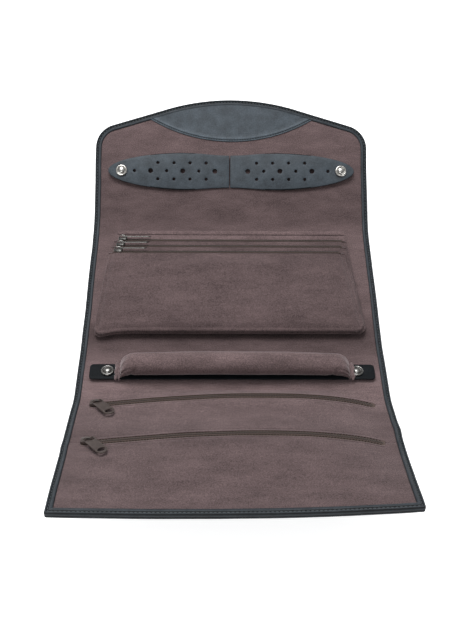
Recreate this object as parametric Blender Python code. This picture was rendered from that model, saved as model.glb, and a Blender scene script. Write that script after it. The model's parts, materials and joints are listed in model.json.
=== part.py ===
"""Jewelry roll in leather and suede, shown half open.

A middle panel rests on its flat back. Behind it an upper spine and a flap with two earring wings rise,
in front of it a lower spine with a ring bar and a panel with two zip pockets. Three zip bags lie on the
middle panel. X runs across the roll, -Y to the pocket panel, +Y to the flap, and Z is up.
"""

import math

import bmesh
import bpy

for old in list(bpy.data.objects):
    bpy.data.objects.remove(old, do_unlink=True)

# Panels, in metres: lengths run along the roll, across its fold lines
WIDTH = 0.250
MIDDLE_LENGTH = 0.133
UPPER_SPINE_LENGTH = 0.034
FLAP_LENGTH = 0.087
LOWER_SPINE_LENGTH = 0.051
POCKET_PANEL_LENGTH = 0.135

# Bends at rest, in degrees, measured from lying flat
UPPER_BEND = 26.0
FLAP_BEND = 4.0
LOWER_BEND = 9.0
POCKET_BEND = 17.5

# Layers, from the outer leather inwards
GAP = 0.0003
LEATHER = 0.0014
BOARD = 0.0015
LINING = 0.0012
POCKET_BOARD = 0.0010
POCKET_CLOTH = 0.0009
BORDER_WIDTH = 0.0055
BORDER_STAND = 0.0009
FOLD_CLEARANCE = 0.00025
EDGE_ROUNDING = 0.0010
BORDER_HEIGHT = LEATHER + GAP + BOARD + GAP + LINING + BORDER_STAND
LINING_TOP = BORDER_HEIGHT - BORDER_STAND
INSIDE = WIDTH / 2 - BORDER_WIDTH - GAP

# Flap outline: an arc at the tip, straight slopes, and round shoulders
TIP_RADIUS = 0.200
TIP_SLOPE = 17.0
SHOULDER_RADIUS = 0.022
FRONT_CORNER_RADIUS = 0.005
FACING_BOTTOM = 0.0471
FACING_RADIUS = 0.1435
FACING_THICKNESS = 0.0016
FACING_STEPS = 24

# Hidden closure
MAGNET_RADIUS = 0.0070
MAGNET_THICKNESS = 0.0012
MAGNET_SIDES = 24
MAGNET_FROM_TIP = 0.0150
MAGNET_FROM_POCKET_FOLD = 0.0724

# Press studs
CAP_RADIUS = 0.0053
CAP_HEIGHT = 0.0026
CAP_RIM_SHARE = 0.35
CAP_CROWN_ANGLES = (0.0, 22.0, 45.0, 68.0)
STEM_RADIUS = 0.0017
SOCKET_RADIUS = 0.0048
SOCKET_BORE = 0.0026
SOCKET_HEIGHT = 0.0010
STUD_BASE_RADIUS = 0.0046
STUD_BASE = 0.0006
STUD_POST = 0.0010
STUD_FIT = 0.0004
SNAP_SIDES = 20

# Earring wings
WING_LEATHER = 0.0016
WING_LINE = 0.0188
WING_TIP_INSET = 0.0125
WING_SEAM_OFFSET = -0.0015
WING_SEAM_HALF = 0.0151
WING_BELLY_HALF = 0.0173
WING_BELLY_AT = 0.042
WING_TIP_POWER = 1.8
WING_STEPS = 18
WING_SNAP_INSET = 0.0247
WING_SNAP_RISE = 0.0028
HOLE_PITCH = 0.0147
HOLE_FIRST = 0.0151
HOLE_ROW = 0.0076
HOLE_ROW_SHIFT = 0.55
LARGE_HOLE_RADIUS = 0.0021
SMALL_HOLE_RADIUS = 0.0013
LARGE_HOLE_SIDES = 12
SMALL_HOLE_SIDES = 8

# Ring bar
STRAP_LEATHER = 0.0014
STRAP_WIDTH = 0.0150
STRAP_INSET = 0.0105
STRAP_CORNER = 0.0020
STRAP_SNAP_INSET = 0.0250
BAR_HINGE_INSET = 0.0310
BAR_RADIUS = 0.0098
BAR_END_RADIUS = 0.0062
BAR_END_LENGTH = 0.0080
BAR_START = 0.0045
BAR_RIGHT_INSET = 0.0315
CORE_RADIUS = 0.0040
BAR_SIDES = 24
BAR_END_STEPS = 5
CORE_SIDES = 12

# Zip bags on the middle panel
BAG_THICKNESS = 0.0044
BAG_LENGTH = 0.0985
BAG_STEP = 0.0105
BAG_TOP_INSET = 0.0210
BAG_BOTTOM_INSET = 0.0125
BAG_CORNER = 0.0120
BAG_LIP = 0.0004
BAG_SIDE_ROUNDING = 0.0016
BAG_CORNER_SHARES = (0.0, 0.06, 0.18, 0.40, 0.70, 1.0)
BAG_END_SHARE = 0.45
BAG_END_RISE = 3.5
PAGE_STRIP = 0.0068
PAGE_SEAM = 0.0046
PAGE_CLOTH = 0.0008
PAGE_HINGE_INSET = 0.0085
BAG_WORDS = ("back", "middle", "front")

# Zips
TAPE_THICKNESS = 0.0006
BAG_TAPE_WIDTH = 0.0054
POCKET_TAPE_WIDTH = 0.0064
COIL_WIDTH = 0.0020
COIL_HEIGHT = 0.0009
UPPER_ZIP_FROM_FOLD = 0.0080
LOWER_ZIP_FROM_FOLD = 0.0570
ZIP_INSET = 0.0140
BAG_ZIP_INSET = 0.0030
POCKET_SLIDER_LENGTH = 0.0105
BAG_SLIDER_LENGTH = 0.0078
SLIDER_PLATE = 0.0012
SLIDER_RUN = 0.0003
POCKET_SLIDER_SPARE = 0.0012
BAG_SLIDER_SPARE = 0.0006
BRIDGE_LENGTH = 0.0070
BRIDGE_LEG = 0.0010
BRIDGE_OPENING = 0.0013
BRIDGE_TOP = 0.0007
BRIDGE_WIDTH = 0.0010
BRIDGE_SINK = 0.0004
PULL_THICKNESS = 0.0008
PULL_BAR = 0.0007
PULL_EYE = 0.0037
POCKET_PULL_LENGTH = 0.0218
POCKET_PULL_WIDTH = 0.0086
POCKET_PULL_EYE_HALF = 0.0033
POCKET_PULL_TURN = -50.0
BAG_PULL_LENGTH = 0.0250
BAG_PULL_WIDTH = 0.0046
BAG_PULL_EYE_HALF = 0.0013
GRIP_HOLE_INSET = 1.05
GRIP_HOLE_SHARE = 0.52

# Slider seen from above: shares of its length from the middle, and of its width
SLIDER_PLAN = ((-0.5, 0.74), (-0.2, 0.86), (0.12, 1.0), (0.36, 1.0), (0.5, 0.8))


def finish(name, colour, roughness, metallic=0.0):
    """A Principled material with one colour."""
    material = bpy.data.materials.new(name)
    material.use_nodes = True
    shader = material.node_tree.nodes["Principled BSDF"]
    shader.inputs["Base Color"].default_value = (*colour, 1.0)
    shader.inputs["Roughness"].default_value = roughness
    shader.inputs["Metallic"].default_value = metallic
    return material


LEATHER_FINISH = finish("slate_leather", (0.030, 0.040, 0.050), 0.48)
SUEDE_FINISH = finish("taupe_suede", (0.165, 0.122, 0.118), 0.95)
BOARD_FINISH = finish("grey_board", (0.35, 0.33, 0.30), 0.9)
METAL_FINISH = finish("nickel", (0.72, 0.71, 0.69), 0.22, 1.0)
TAPE_FINISH = finish("zip_tape", (0.100, 0.074, 0.062), 0.85)
PAINT_FINISH = finish("painted_zip", (0.120, 0.092, 0.080), 0.45)
MAGNET_FINISH = finish("magnet", (0.30, 0.30, 0.31), 0.4, 0.9)


def empty(name, parent, location, rotation=(0.0, 0.0, 0.0)):
    """An axis or frame that pieces hang on, with its rotation in degrees."""
    frame = bpy.data.objects.new(name, None)
    frame.parent = parent
    frame.location = location
    frame.rotation_euler = [math.radians(angle) for angle in rotation]
    bpy.context.collection.objects.link(frame)
    return frame


def solid(name, bm, material, parent, location=(0.0, 0.0, 0.0), rotation=(0.0, 0.0, 0.0)):
    """An object from a bmesh, with its faces turned outwards."""
    bmesh.ops.recalc_face_normals(bm, faces=bm.faces)
    mesh = bpy.data.meshes.new(name)
    bm.to_mesh(mesh)
    bm.free()
    mesh.materials.append(material)
    piece = bpy.data.objects.new(name, mesh)
    piece.parent = parent
    piece.location = location
    piece.rotation_euler = [math.radians(angle) for angle in rotation]
    bpy.context.collection.objects.link(piece)
    return piece


def hide_guide(piece):
    """Marks a solid that only cuts or joins another."""
    piece.hide_render = True
    piece.display_type = "WIRE"


def combine(piece, guide, operation):
    """Cuts the guide from the piece, or joins it on."""
    hide_guide(guide)
    boolean = piece.modifiers.new(operation.lower(), "BOOLEAN")
    boolean.operation = operation
    boolean.object = guide


def soften(piece, width, segments=2, angle=50.0):
    """Rounds the edges that are sharper than the angle."""
    bevel = piece.modifiers.new("soft_edge", "BEVEL")
    bevel.width = width
    bevel.segments = segments
    bevel.limit_method = "ANGLE"
    bevel.angle_limit = math.radians(angle)


def arc(centre, radius, start, end, steps):
    """Points on an arc, with its angles in degrees anticlockwise from +X."""
    angles = [math.radians(start + (end - start) * i / steps) for i in range(steps + 1)]
    return [(centre[0] + radius * math.cos(a), centre[1] + radius * math.sin(a)) for a in angles]


def circle(x, y, radius, sides):
    """A closed round outline."""
    return arc((x, y), radius, 0.0, 360.0, sides)[:-1]


def rectangle(x0, x1, y0, y1, radius=0.0, steps=4):
    """A closed rectangle, with its corners rounded where a radius is given."""
    if radius == 0.0:
        return [(x0, y0), (x1, y0), (x1, y1), (x0, y1)]
    return (
        arc((x0 + radius, y0 + radius), radius, 180.0, 270.0, steps)
        + arc((x1 - radius, y0 + radius), radius, 270.0, 360.0, steps)
        + arc((x1 - radius, y1 - radius), radius, 0.0, 90.0, steps)
        + arc((x0 + radius, y1 - radius), radius, 90.0, 180.0, steps)
    )


def plate(loops, bottom, top):
    """A flat plate between two levels: the first loop is its outline, and the others are holes."""
    bm = bmesh.new()
    edges = []
    for loop in loops:
        verts = [bm.verts.new((x, y, bottom)) for x, y in loop]
        edges += [bm.edges.new(pair) for pair in zip(verts, verts[1:] + verts[:1])]
    filled = bmesh.ops.triangle_fill(bm, edges=edges, use_beauty=True)
    faces = [item for item in filled["geom"] if isinstance(item, bmesh.types.BMFace)]
    raised = bmesh.ops.extrude_face_region(bm, geom=faces)
    upper = [item for item in raised["geom"] if isinstance(item, bmesh.types.BMVert)]
    bmesh.ops.translate(bm, verts=upper, vec=(0.0, 0.0, top - bottom))
    return bm


def loft(sections):
    """A solid through sections of equally many points, closed by a face at each end."""
    bm = bmesh.new()
    rings = [[bm.verts.new(point) for point in section] for section in sections]
    for low, high in zip(rings, rings[1:]):
        for i, vert in enumerate(low):
            j = (i + 1) % len(low)
            bm.faces.new((vert, low[j], high[j], high[i]))
    for ring in (rings[0], rings[-1]):
        edges = [bm.edges.get(pair) for pair in zip(ring, ring[1:] + ring[:1])]
        bmesh.ops.triangle_fill(bm, edges=edges, use_beauty=True)
    return bm


def turned(profile, sides, ring_shaped=False):
    """A solid turned about Z from (radius, height) points, with a hole through it if ring-shaped."""
    bm = bmesh.new()
    rings = []
    for radius, height in profile:
        if radius == 0.0:
            rings.append([bm.verts.new((0.0, 0.0, height))])
        else:
            rings.append([bm.verts.new((x, y, height)) for x, y in circle(0.0, 0.0, radius, sides)])
    pairs = list(zip(rings, rings[1:]))
    if ring_shaped:
        pairs.append((rings[-1], rings[0]))
    for low, high in pairs:
        for i in range(sides):
            j = (i + 1) % sides
            corners = [low[i % len(low)], low[j % len(low)], high[j % len(high)], high[i % len(high)]]
            bm.faces.new(list(dict.fromkeys(corners)))
    return bm


def level(height):
    """Local Z of a height above the outer leather. A panel's zero is its fold axis, at the border's top."""
    return height - BORDER_HEIGHT


# Frames: each hinged panel's empty lies on its fold line
middle_frame = empty("middle_frame", None, (0.0, 0.0, BORDER_HEIGHT))
upper_fold = empty("upper_fold", middle_frame, (0.0, MIDDLE_LENGTH / 2, 0.0), (UPPER_BEND, 0.0, 0.0))
flap_fold = empty("flap_fold", upper_fold, (0.0, UPPER_SPINE_LENGTH, 0.0), (FLAP_BEND, 0.0, 0.0))
lower_fold = empty("lower_fold", middle_frame, (0.0, -MIDDLE_LENGTH / 2, 0.0), (-LOWER_BEND, 0.0, 0.0))
pocket_line = (0.0, -LOWER_SPINE_LENGTH, 0.0)
pocket_fold = empty("pocket_fold", lower_fold, pocket_line, (-POCKET_BEND, 0.0, 0.0))


def flap_outline(inset, start):
    """The flap's right half outline moved inwards, from the fold up to the tip, then mirrored."""
    slope = math.radians(TIP_SLOPE)
    normal = (math.sin(slope), math.cos(slope))
    tip_centre = FLAP_LENGTH - TIP_RADIUS
    shoulder_x = WIDTH / 2 - SHOULDER_RADIUS
    touch = normal[1] * tip_centre + TIP_RADIUS
    shoulder_y = (touch - SHOULDER_RADIUS - normal[0] * shoulder_x) / normal[1]
    shoulder = arc((shoulder_x, shoulder_y), SHOULDER_RADIUS - inset, 0.0, 90.0 - TIP_SLOPE, 8)
    tip = arc((0.0, tip_centre), TIP_RADIUS - inset, 90.0 - TIP_SLOPE, 90.0, 8)
    right = [(WIDTH / 2 - inset, start)] + shoulder + tip
    return right + [(-x, y) for x, y in reversed(right[:-1])]


def flap_edge(x, inset):
    """The flap outline's height at a place across the tip's arc and slopes."""
    slope = math.radians(TIP_SLOPE)
    radius = TIP_RADIUS - inset
    tangent = radius * math.sin(slope)
    centre = FLAP_LENGTH - TIP_RADIUS
    if abs(x) < tangent:
        return centre + math.sqrt(radius * radius - x * x)
    return centre + radius * math.cos(slope) - (abs(x) - tangent) * math.tan(slope)


def facing_arc(x, drop):
    """Height of the facing's lower edge, moved down by a drop."""
    return FACING_BOTTOM + FACING_RADIUS - math.sqrt((FACING_RADIUS + drop) ** 2 - x * x)


def facing_reach(inset, drop):
    """How far across the facing's lower edge meets the flap outline."""
    low, high = 0.0, WIDTH / 2 - SHOULDER_RADIUS
    for _ in range(40):
        x = (low + high) / 2
        if facing_arc(x, drop) < flap_edge(x, inset):
            low = x
        else:
            high = x
    return low


def spread(reach):
    """Even places across the facing, from -reach to reach."""
    return [reach * (2 * i / FACING_STEPS - 1) for i in range(FACING_STEPS + 1)]


def tray(name, outline, opening, frame):
    """A leather panel with its edges turned up into a border, hollowed where its layers lie."""
    shell = solid(name, plate([outline], level(0.0), level(BORDER_HEIGHT)), LEATHER_FINISH, frame)
    soften(shell, EDGE_ROUNDING)
    hollow = plate([opening], level(LEATHER), level(2 * BORDER_HEIGHT))
    combine(shell, solid(name + "_hollow", hollow, LEATHER_FINISH, frame), "DIFFERENCE")
    return shell


def strip_panel(name, y0, y1, frame, padded):
    """A rectangular panel between two folds: its leather, its lining, and its board or padding."""
    outline = rectangle(-WIDTH / 2, WIDTH / 2, y0 + FOLD_CLEARANCE, y1 - FOLD_CLEARANCE)
    inner_x = WIDTH / 2 - BORDER_WIDTH
    opening = rectangle(-inner_x, inner_x, y0 - BORDER_HEIGHT, y1 + BORDER_HEIGHT)
    tray(name + "_leather", outline, opening, frame)
    layer = rectangle(-INSIDE, INSIDE, y0 + FOLD_CLEARANCE, y1 - FOLD_CLEARANCE)
    base = LEATHER + GAP
    if not padded:
        board = plate([layer], level(base), level(base + BOARD))
        solid(name + "_board", board, BOARD_FINISH, frame)
        base += BOARD + GAP
    lining = plate([layer], level(base), level(LINING_TOP))
    solid(name + "_lining", lining, SUEDE_FINISH, frame)


def magnet(name, y, thickness, frame):
    """A thin round magnet between the leather and the lining."""
    base = LEATHER + GAP
    disc = plate([circle(0.0, y, MAGNET_RADIUS, MAGNET_SIDES)], level(base), level(base + thickness))
    solid(name, disc, MAGNET_FINISH, frame)


def flap():
    """The flap's leather, board, lining, tip facing and magnet."""
    start = FOLD_CLEARANCE
    tray(
        "flap_leather",
        flap_outline(0.0, start),
        flap_outline(BORDER_WIDTH, start - BORDER_HEIGHT),
        flap_fold,
    )
    inset = BORDER_WIDTH + GAP
    magnet_y = FLAP_LENGTH - MAGNET_FROM_TIP
    base = LEATHER + GAP
    pocket = circle(0.0, magnet_y, MAGNET_RADIUS + GAP, MAGNET_SIDES)
    board = plate([flap_outline(inset, start), pocket], level(base), level(base + BOARD))
    solid("flap_board", board, BOARD_FINISH, flap_fold)
    magnet("flap_magnet", magnet_y, MAGNET_THICKNESS, flap_fold)

    reach = facing_reach(inset, 0.0)
    lower = [(x, facing_arc(x, 0.0)) for x in spread(reach)]
    upper = [(x, flap_edge(x, inset)) for x in reversed(spread(reach)[1:-1])]
    base += BOARD + GAP
    facing = plate([lower + upper], level(base), level(base + FACING_THICKNESS))
    solid("flap_tip_facing", facing, LEATHER_FINISH, flap_fold)

    reach = facing_reach(inset, GAP)
    around = [point for point in flap_outline(inset, start) if abs(point[0]) > reach]
    half = len(around) // 2
    cut = [(x, facing_arc(x, GAP)) for x in reversed(spread(reach))]
    lining = plate([around[:half] + cut + around[half:]], level(base), level(LINING_TOP))
    solid("flap_lining", lining, SUEDE_FINISH, flap_fold)


def pocket_outline(inset, end):
    """The pocket panel's outline, open at its fold: its front corners are rounded."""
    half = WIDTH / 2 - inset
    front = inset - POCKET_PANEL_LENGTH
    radius = FRONT_CORNER_RADIUS - min(inset, FRONT_CORNER_RADIUS * 0.8)
    left = arc((-half + radius, front + radius), radius, 180.0, 270.0, 4)
    right = arc((half - radius, front + radius), radius, 270.0, 360.0, 4)
    return [(-half, end)] + left + right + [(half, end)]


def pocket_panel():
    """The pocket panel's leather, board, lining, two pocket cloths and magnet."""
    end = -FOLD_CLEARANCE
    tray(
        "pocket_panel_leather",
        pocket_outline(0.0, end),
        pocket_outline(BORDER_WIDTH, end + BORDER_HEIGHT),
        pocket_fold,
    )
    outline = pocket_outline(BORDER_WIDTH + GAP, end)
    base = LEATHER + GAP
    pocket = circle(0.0, -MAGNET_FROM_POCKET_FOLD, MAGNET_RADIUS + GAP, MAGNET_SIDES)
    board = plate([outline, pocket], level(base), level(base + POCKET_BOARD))
    solid("pocket_panel_board", board, BOARD_FINISH, pocket_fold)
    magnet("pocket_panel_magnet", -MAGNET_FROM_POCKET_FOLD, POCKET_BOARD, pocket_fold)
    base += POCKET_BOARD + GAP
    lining = plate([outline], level(base), level(base + POCKET_CLOTH))
    solid("pocket_panel_lining", lining, SUEDE_FINISH, pocket_fold)

    base += POCKET_CLOTH + GAP
    seam = POCKET_TAPE_WIDTH / 2 + GAP
    upper = rectangle(-INSIDE, INSIDE, seam - LOWER_ZIP_FROM_FOLD, -UPPER_ZIP_FROM_FOLD - seam)
    cloth = plate([upper], level(base), level(base + POCKET_CLOTH))
    solid("upper_pocket_cloth", cloth, SUEDE_FINISH, pocket_fold)
    lower = pocket_outline(BORDER_WIDTH + GAP, -LOWER_ZIP_FROM_FOLD - seam)
    cloth = plate([lower], level(base), level(base + POCKET_CLOTH))
    solid("lower_pocket_cloth", cloth, SUEDE_FINISH, pocket_fold)
    return base


def snap_cap(name, frame, x, y, leather_top, leather):
    """A domed cap, with its stem through the leather below it."""
    foot = -leather - GAP
    profile = [(0.0, foot), (STEM_RADIUS, foot), (STEM_RADIUS, 0.0), (CAP_RADIUS, 0.0)]
    for angle in CAP_CROWN_ANGLES:
        turn = math.radians(angle)
        rise = CAP_RIM_SHARE + (1.0 - CAP_RIM_SHARE) * math.sin(turn)
        profile.append((CAP_RADIUS * math.cos(turn), CAP_HEIGHT * rise))
    profile.append((0.0, CAP_HEIGHT))
    solid(name, turned(profile, SNAP_SIDES), METAL_FINISH, frame, (x, y, leather_top + GAP))


def snap_socket(name, frame, x, y, base, height):
    """The ring under the leather that the stud clicks into."""
    profile = [(SOCKET_BORE, 0.0), (SOCKET_RADIUS, 0.0), (SOCKET_RADIUS, height), (SOCKET_BORE, height)]
    solid(name, turned(profile, SNAP_SIDES, True), METAL_FINISH, frame, (x, y, base))


def snap_stud(name, frame, x, y):
    """The stud on the lining, with a post that stands in the socket's bore."""
    post = SOCKET_BORE - STUD_FIT
    profile = [(0.0, 0.0), (STUD_BASE_RADIUS, 0.0), (STUD_BASE_RADIUS, STUD_BASE)]
    profile += [(post, STUD_BASE), (post, STUD_BASE + STUD_POST), (0.0, STUD_BASE + STUD_POST)]
    solid(name, turned(profile, SNAP_SIDES), METAL_FINISH, frame, (x, y, level(LINING_TOP + GAP)))


def wing_half_width(distance):
    """Half the wing's height at a distance from its seam."""
    length = WIDTH / 2 - WING_TIP_INSET
    if distance < WING_BELLY_AT:
        swell = 0.5 - 0.5 * math.cos(math.pi * distance / WING_BELLY_AT)
        return WING_SEAM_HALF + (WING_BELLY_HALF - WING_SEAM_HALF) * swell
    share = min(1.0, (distance - WING_BELLY_AT) / (length - WING_BELLY_AT))
    return WING_BELLY_HALF * math.sqrt(1.0 - share**WING_TIP_POWER)


def earring_wing(side, word):
    """One punched leather wing, hinged at the middle seam and snapped down at its tip."""
    seam = WING_SEAM_OFFSET + side * GAP
    tip = side * (WIDTH / 2 - WING_TIP_INSET)
    snap = side * (WIDTH / 2 - WING_SNAP_INSET)
    slope = math.degrees(math.atan((WING_SNAP_RISE - GAP) / abs(snap - seam)))
    top = LINING_TOP + GAP + WING_LEATHER
    hinge = empty(
        f"earring_{word}_hinge",
        flap_fold,
        (seam, WING_LINE, level(top)),
        (0.0, -side * slope, 0.0),
    )
    shares = [math.sin(math.pi / 2 * i / WING_STEPS) for i in range(WING_STEPS + 1)]
    places = [abs(tip - seam) * share for share in shares]
    stretch = (WIDTH / 2 - WING_TIP_INSET) / abs(tip - seam)
    upper = [(side * d, wing_half_width(d * stretch)) for d in places]
    outline = upper + [(x, -y) for x, y in reversed(upper[:-1])]
    holes = []
    for i in range(3):
        large = HOLE_FIRST + 2 * i * HOLE_PITCH
        holes.append((large, 0.0, LARGE_HOLE_RADIUS, LARGE_HOLE_SIDES))
        holes.append((large + HOLE_PITCH, 0.0, SMALL_HOLE_RADIUS, SMALL_HOLE_SIDES))
    for i in range(4):
        across = HOLE_FIRST + (i + HOLE_ROW_SHIFT) * HOLE_PITCH
        for row in (HOLE_ROW, -HOLE_ROW):
            holes.append((across, row, SMALL_HOLE_RADIUS, SMALL_HOLE_SIDES))
    holes.append((abs(snap), 0.0, STEM_RADIUS + GAP, LARGE_HOLE_SIDES))
    loops = [outline]
    loops += [circle(side * x - seam, y, radius, sides) for x, y, radius, sides in holes]
    leather = plate(loops, -WING_LEATHER, 0.0)
    solid(f"earring_wing_{word}", leather, LEATHER_FINISH, hinge)
    snap_cap(f"earring_cap_{word}", hinge, snap - seam, 0.0, 0.0, WING_LEATHER)
    socket_height = WING_SNAP_RISE - 2 * GAP - STUD_BASE - GAP
    socket_base = -WING_LEATHER - GAP - socket_height
    snap_socket(f"earring_socket_{word}", hinge, snap - seam, 0.0, socket_base, socket_height)
    snap_stud(f"earring_stud_{word}", flap_fold, snap, WING_LINE)


def ring_bar():
    """The padded ring bar on its leather strap, hinged at the left and snapped down at the right."""
    line = -LOWER_SPINE_LENGTH / 2
    strap_end = WIDTH / 2 - STRAP_INSET
    snap = WIDTH / 2 - STRAP_SNAP_INSET
    strap_base = LINING_TOP + GAP + STUD_BASE + GAP + SOCKET_HEIGHT + GAP
    strap_top = strap_base + STRAP_LEATHER
    hinge_x = -WIDTH / 2 + BAR_HINGE_INSET
    hinge = empty("ring_bar_hinge", lower_fold, (hinge_x, line, level(strap_top)))
    half = STRAP_WIDTH / 2
    hole = circle(-snap, line, STEM_RADIUS + GAP, LARGE_HOLE_SIDES)
    tab = rectangle(-strap_end, hinge_x - GAP, line - half, line + half, STRAP_CORNER)
    solid(
        "ring_bar_tab",
        plate([tab, hole], level(strap_base), level(strap_top)),
        LEATHER_FINISH,
        lower_fold,
    )
    snap_cap("ring_bar_cap_left", lower_fold, -snap, line, level(strap_top), STRAP_LEATHER)
    socket_base = level(strap_base) - GAP - SOCKET_HEIGHT
    snap_socket("ring_bar_socket_left", lower_fold, -snap, line, socket_base, SOCKET_HEIGHT)
    snap_stud("ring_bar_stud_left", lower_fold, -snap, line)

    across = snap - hinge_x
    hole = circle(across, 0.0, STEM_RADIUS + GAP, LARGE_HOLE_SIDES)
    strap = rectangle(GAP, strap_end - hinge_x, -half, half, STRAP_CORNER)
    solid("ring_bar_strap", plate([strap, hole], -STRAP_LEATHER, 0.0), LEATHER_FINISH, hinge)
    snap_cap("ring_bar_cap_right", hinge, across, 0.0, 0.0, STRAP_LEATHER)
    socket_base = -STRAP_LEATHER - GAP - SOCKET_HEIGHT
    snap_socket("ring_bar_socket_right", hinge, across, 0.0, socket_base, SOCKET_HEIGHT)
    snap_stud("ring_bar_stud_right", lower_fold, snap, line)

    left = BAR_START
    right = WIDTH / 2 - BAR_RIGHT_INSET - hinge_x
    bar_z = GAP + BAR_RADIUS
    outer = []
    for i in range(BAR_END_STEPS + 1):
        share = i / BAR_END_STEPS
        radius = BAR_END_RADIUS + (BAR_RADIUS - BAR_END_RADIUS) * math.sin(math.pi / 2 * share)
        outer.append((radius, left + BAR_END_LENGTH * (1 - math.cos(math.pi / 2 * share))))
    outer += [(radius, left + right - x) for radius, x in reversed(outer)]
    bore = CORE_RADIUS + GAP
    cover = turned([(bore, left)] + outer + [(bore, right)], BAR_SIDES, True)
    solid("ring_bar_cover", cover, SUEDE_FINISH, hinge, (0.0, 0.0, bar_z), (0.0, 90.0, 0.0))
    core = turned([(0.0, left), (CORE_RADIUS, left), (CORE_RADIUS, right), (0.0, right)], CORE_SIDES)
    solid("ring_bar_core", core, BOARD_FINISH, hinge, (0.0, 0.0, bar_z), (0.0, 90.0, 0.0))


def slider(name, frame, x, y, z, length, width, finish_of):
    """A zip slider that straddles the coil, with the bridge that its pull hangs on."""
    coil_top = COIL_HEIGHT + 2 * SLIDER_RUN
    top = coil_top + SLIDER_PLATE
    gap_half = COIL_WIDTH / 2 + 2 * SLIDER_RUN
    groove = [(-gap_half, SLIDER_RUN), (-gap_half, coil_top), (gap_half, coil_top), (gap_half, SLIDER_RUN)]
    sections = []
    for along, share in SLIDER_PLAN:
        half = width / 2 * share
        points = [(half, SLIDER_RUN), (half, top), (-half, top), (-half, SLIDER_RUN)] + groove
        sections.append([(along * length, across, up) for across, up in points])
    body = solid(name, loft(sections), finish_of, frame, (x, y, z))
    half = BRIDGE_LENGTH / 2
    leg = half - BRIDGE_LEG
    foot = top - BRIDGE_SINK
    under = top + BRIDGE_OPENING
    crown = under + BRIDGE_TOP
    profile = [(-half, foot), (-leg, foot), (-leg, under), (leg, under), (leg, foot), (half, foot)]
    profile += [(half, under), (leg, crown), (-leg, crown), (-half, under)]
    wide = BRIDGE_WIDTH / 2
    sides = [[(along, across, up) for along, up in profile] for across in (-wide, wide)]
    bridge = solid(name + "_bridge", loft(sides), finish_of, frame, (x, y, z))
    combine(body, bridge, "UNION")
    return top + BRIDGE_OPENING / 2


def pull(name, frame, x, y, z, length, width, eye_half, turn, finish_of):
    """A flat pull whose end bar lies under the slider's bridge, with an eye round the bridge's leg."""
    bar = PULL_BAR / 2
    end = width / 2
    outline = [(-bar, -end), (length - end, -end)]
    outline += arc((length - end, 0.0), end, -90.0, 90.0, 8)[1:]
    outline += [(-bar, end)]
    eye = rectangle(bar, bar + PULL_EYE, -eye_half, eye_half)
    grip = circle(length - end * GRIP_HOLE_INSET, 0.0, end * GRIP_HOLE_SHARE, LARGE_HOLE_SIDES)
    half = PULL_THICKNESS / 2
    solid(name, plate([outline, eye, grip], -half, half), finish_of, frame, (x, y, z), (0.0, 0.0, turn))


def pocket_zip(word, from_fold, base):
    """A pocket's zip: its tape, its coil, its slider and its painted pull."""
    tape_end = WIDTH / 2 - ZIP_INSET
    half = POCKET_TAPE_WIDTH / 2
    tape = rectangle(-tape_end, tape_end, -from_fold - half, -from_fold + half)
    tape_top = level(base + TAPE_THICKNESS)
    solid(f"{word}_pocket_zip_tape", plate([tape], level(base), tape_top), TAPE_FINISH, pocket_fold)
    coil_half = COIL_WIDTH / 2
    coil = rectangle(-tape_end, tape_end, -from_fold - coil_half, -from_fold + coil_half)
    low = tape_top + SLIDER_RUN
    solid(f"{word}_pocket_zip_coil", plate([coil], low, low + COIL_HEIGHT), TAPE_FINISH, pocket_fold)
    rest_x = -tape_end + POCKET_SLIDER_LENGTH / 2
    width = POCKET_TAPE_WIDTH + POCKET_SLIDER_SPARE
    cloth_top = level(base + POCKET_CLOTH)
    slider_z = max(tape_top, cloth_top) + SLIDER_RUN / 2
    axis = slider(
        f"{word}_pocket_slider",
        pocket_fold,
        rest_x,
        -from_fold,
        slider_z,
        POCKET_SLIDER_LENGTH,
        width,
        PAINT_FINISH,
    )
    pull(
        f"{word}_pocket_pull",
        pocket_fold,
        rest_x,
        -from_fold,
        slider_z + axis,
        POCKET_PULL_LENGTH,
        POCKET_PULL_WIDTH,
        POCKET_PULL_EYE_HALF,
        POCKET_PULL_TURN,
        PAINT_FINISH,
    )


def bag_section(y, half, low, high):
    """A section across a bag: a rectangle with rounded ends."""
    radius = min(BAG_SIDE_ROUNDING, (high - low) / 2 * 0.98)
    return [(x, y, z) for x, z in rectangle(-half, half, low, high, radius, 2)]


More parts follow.
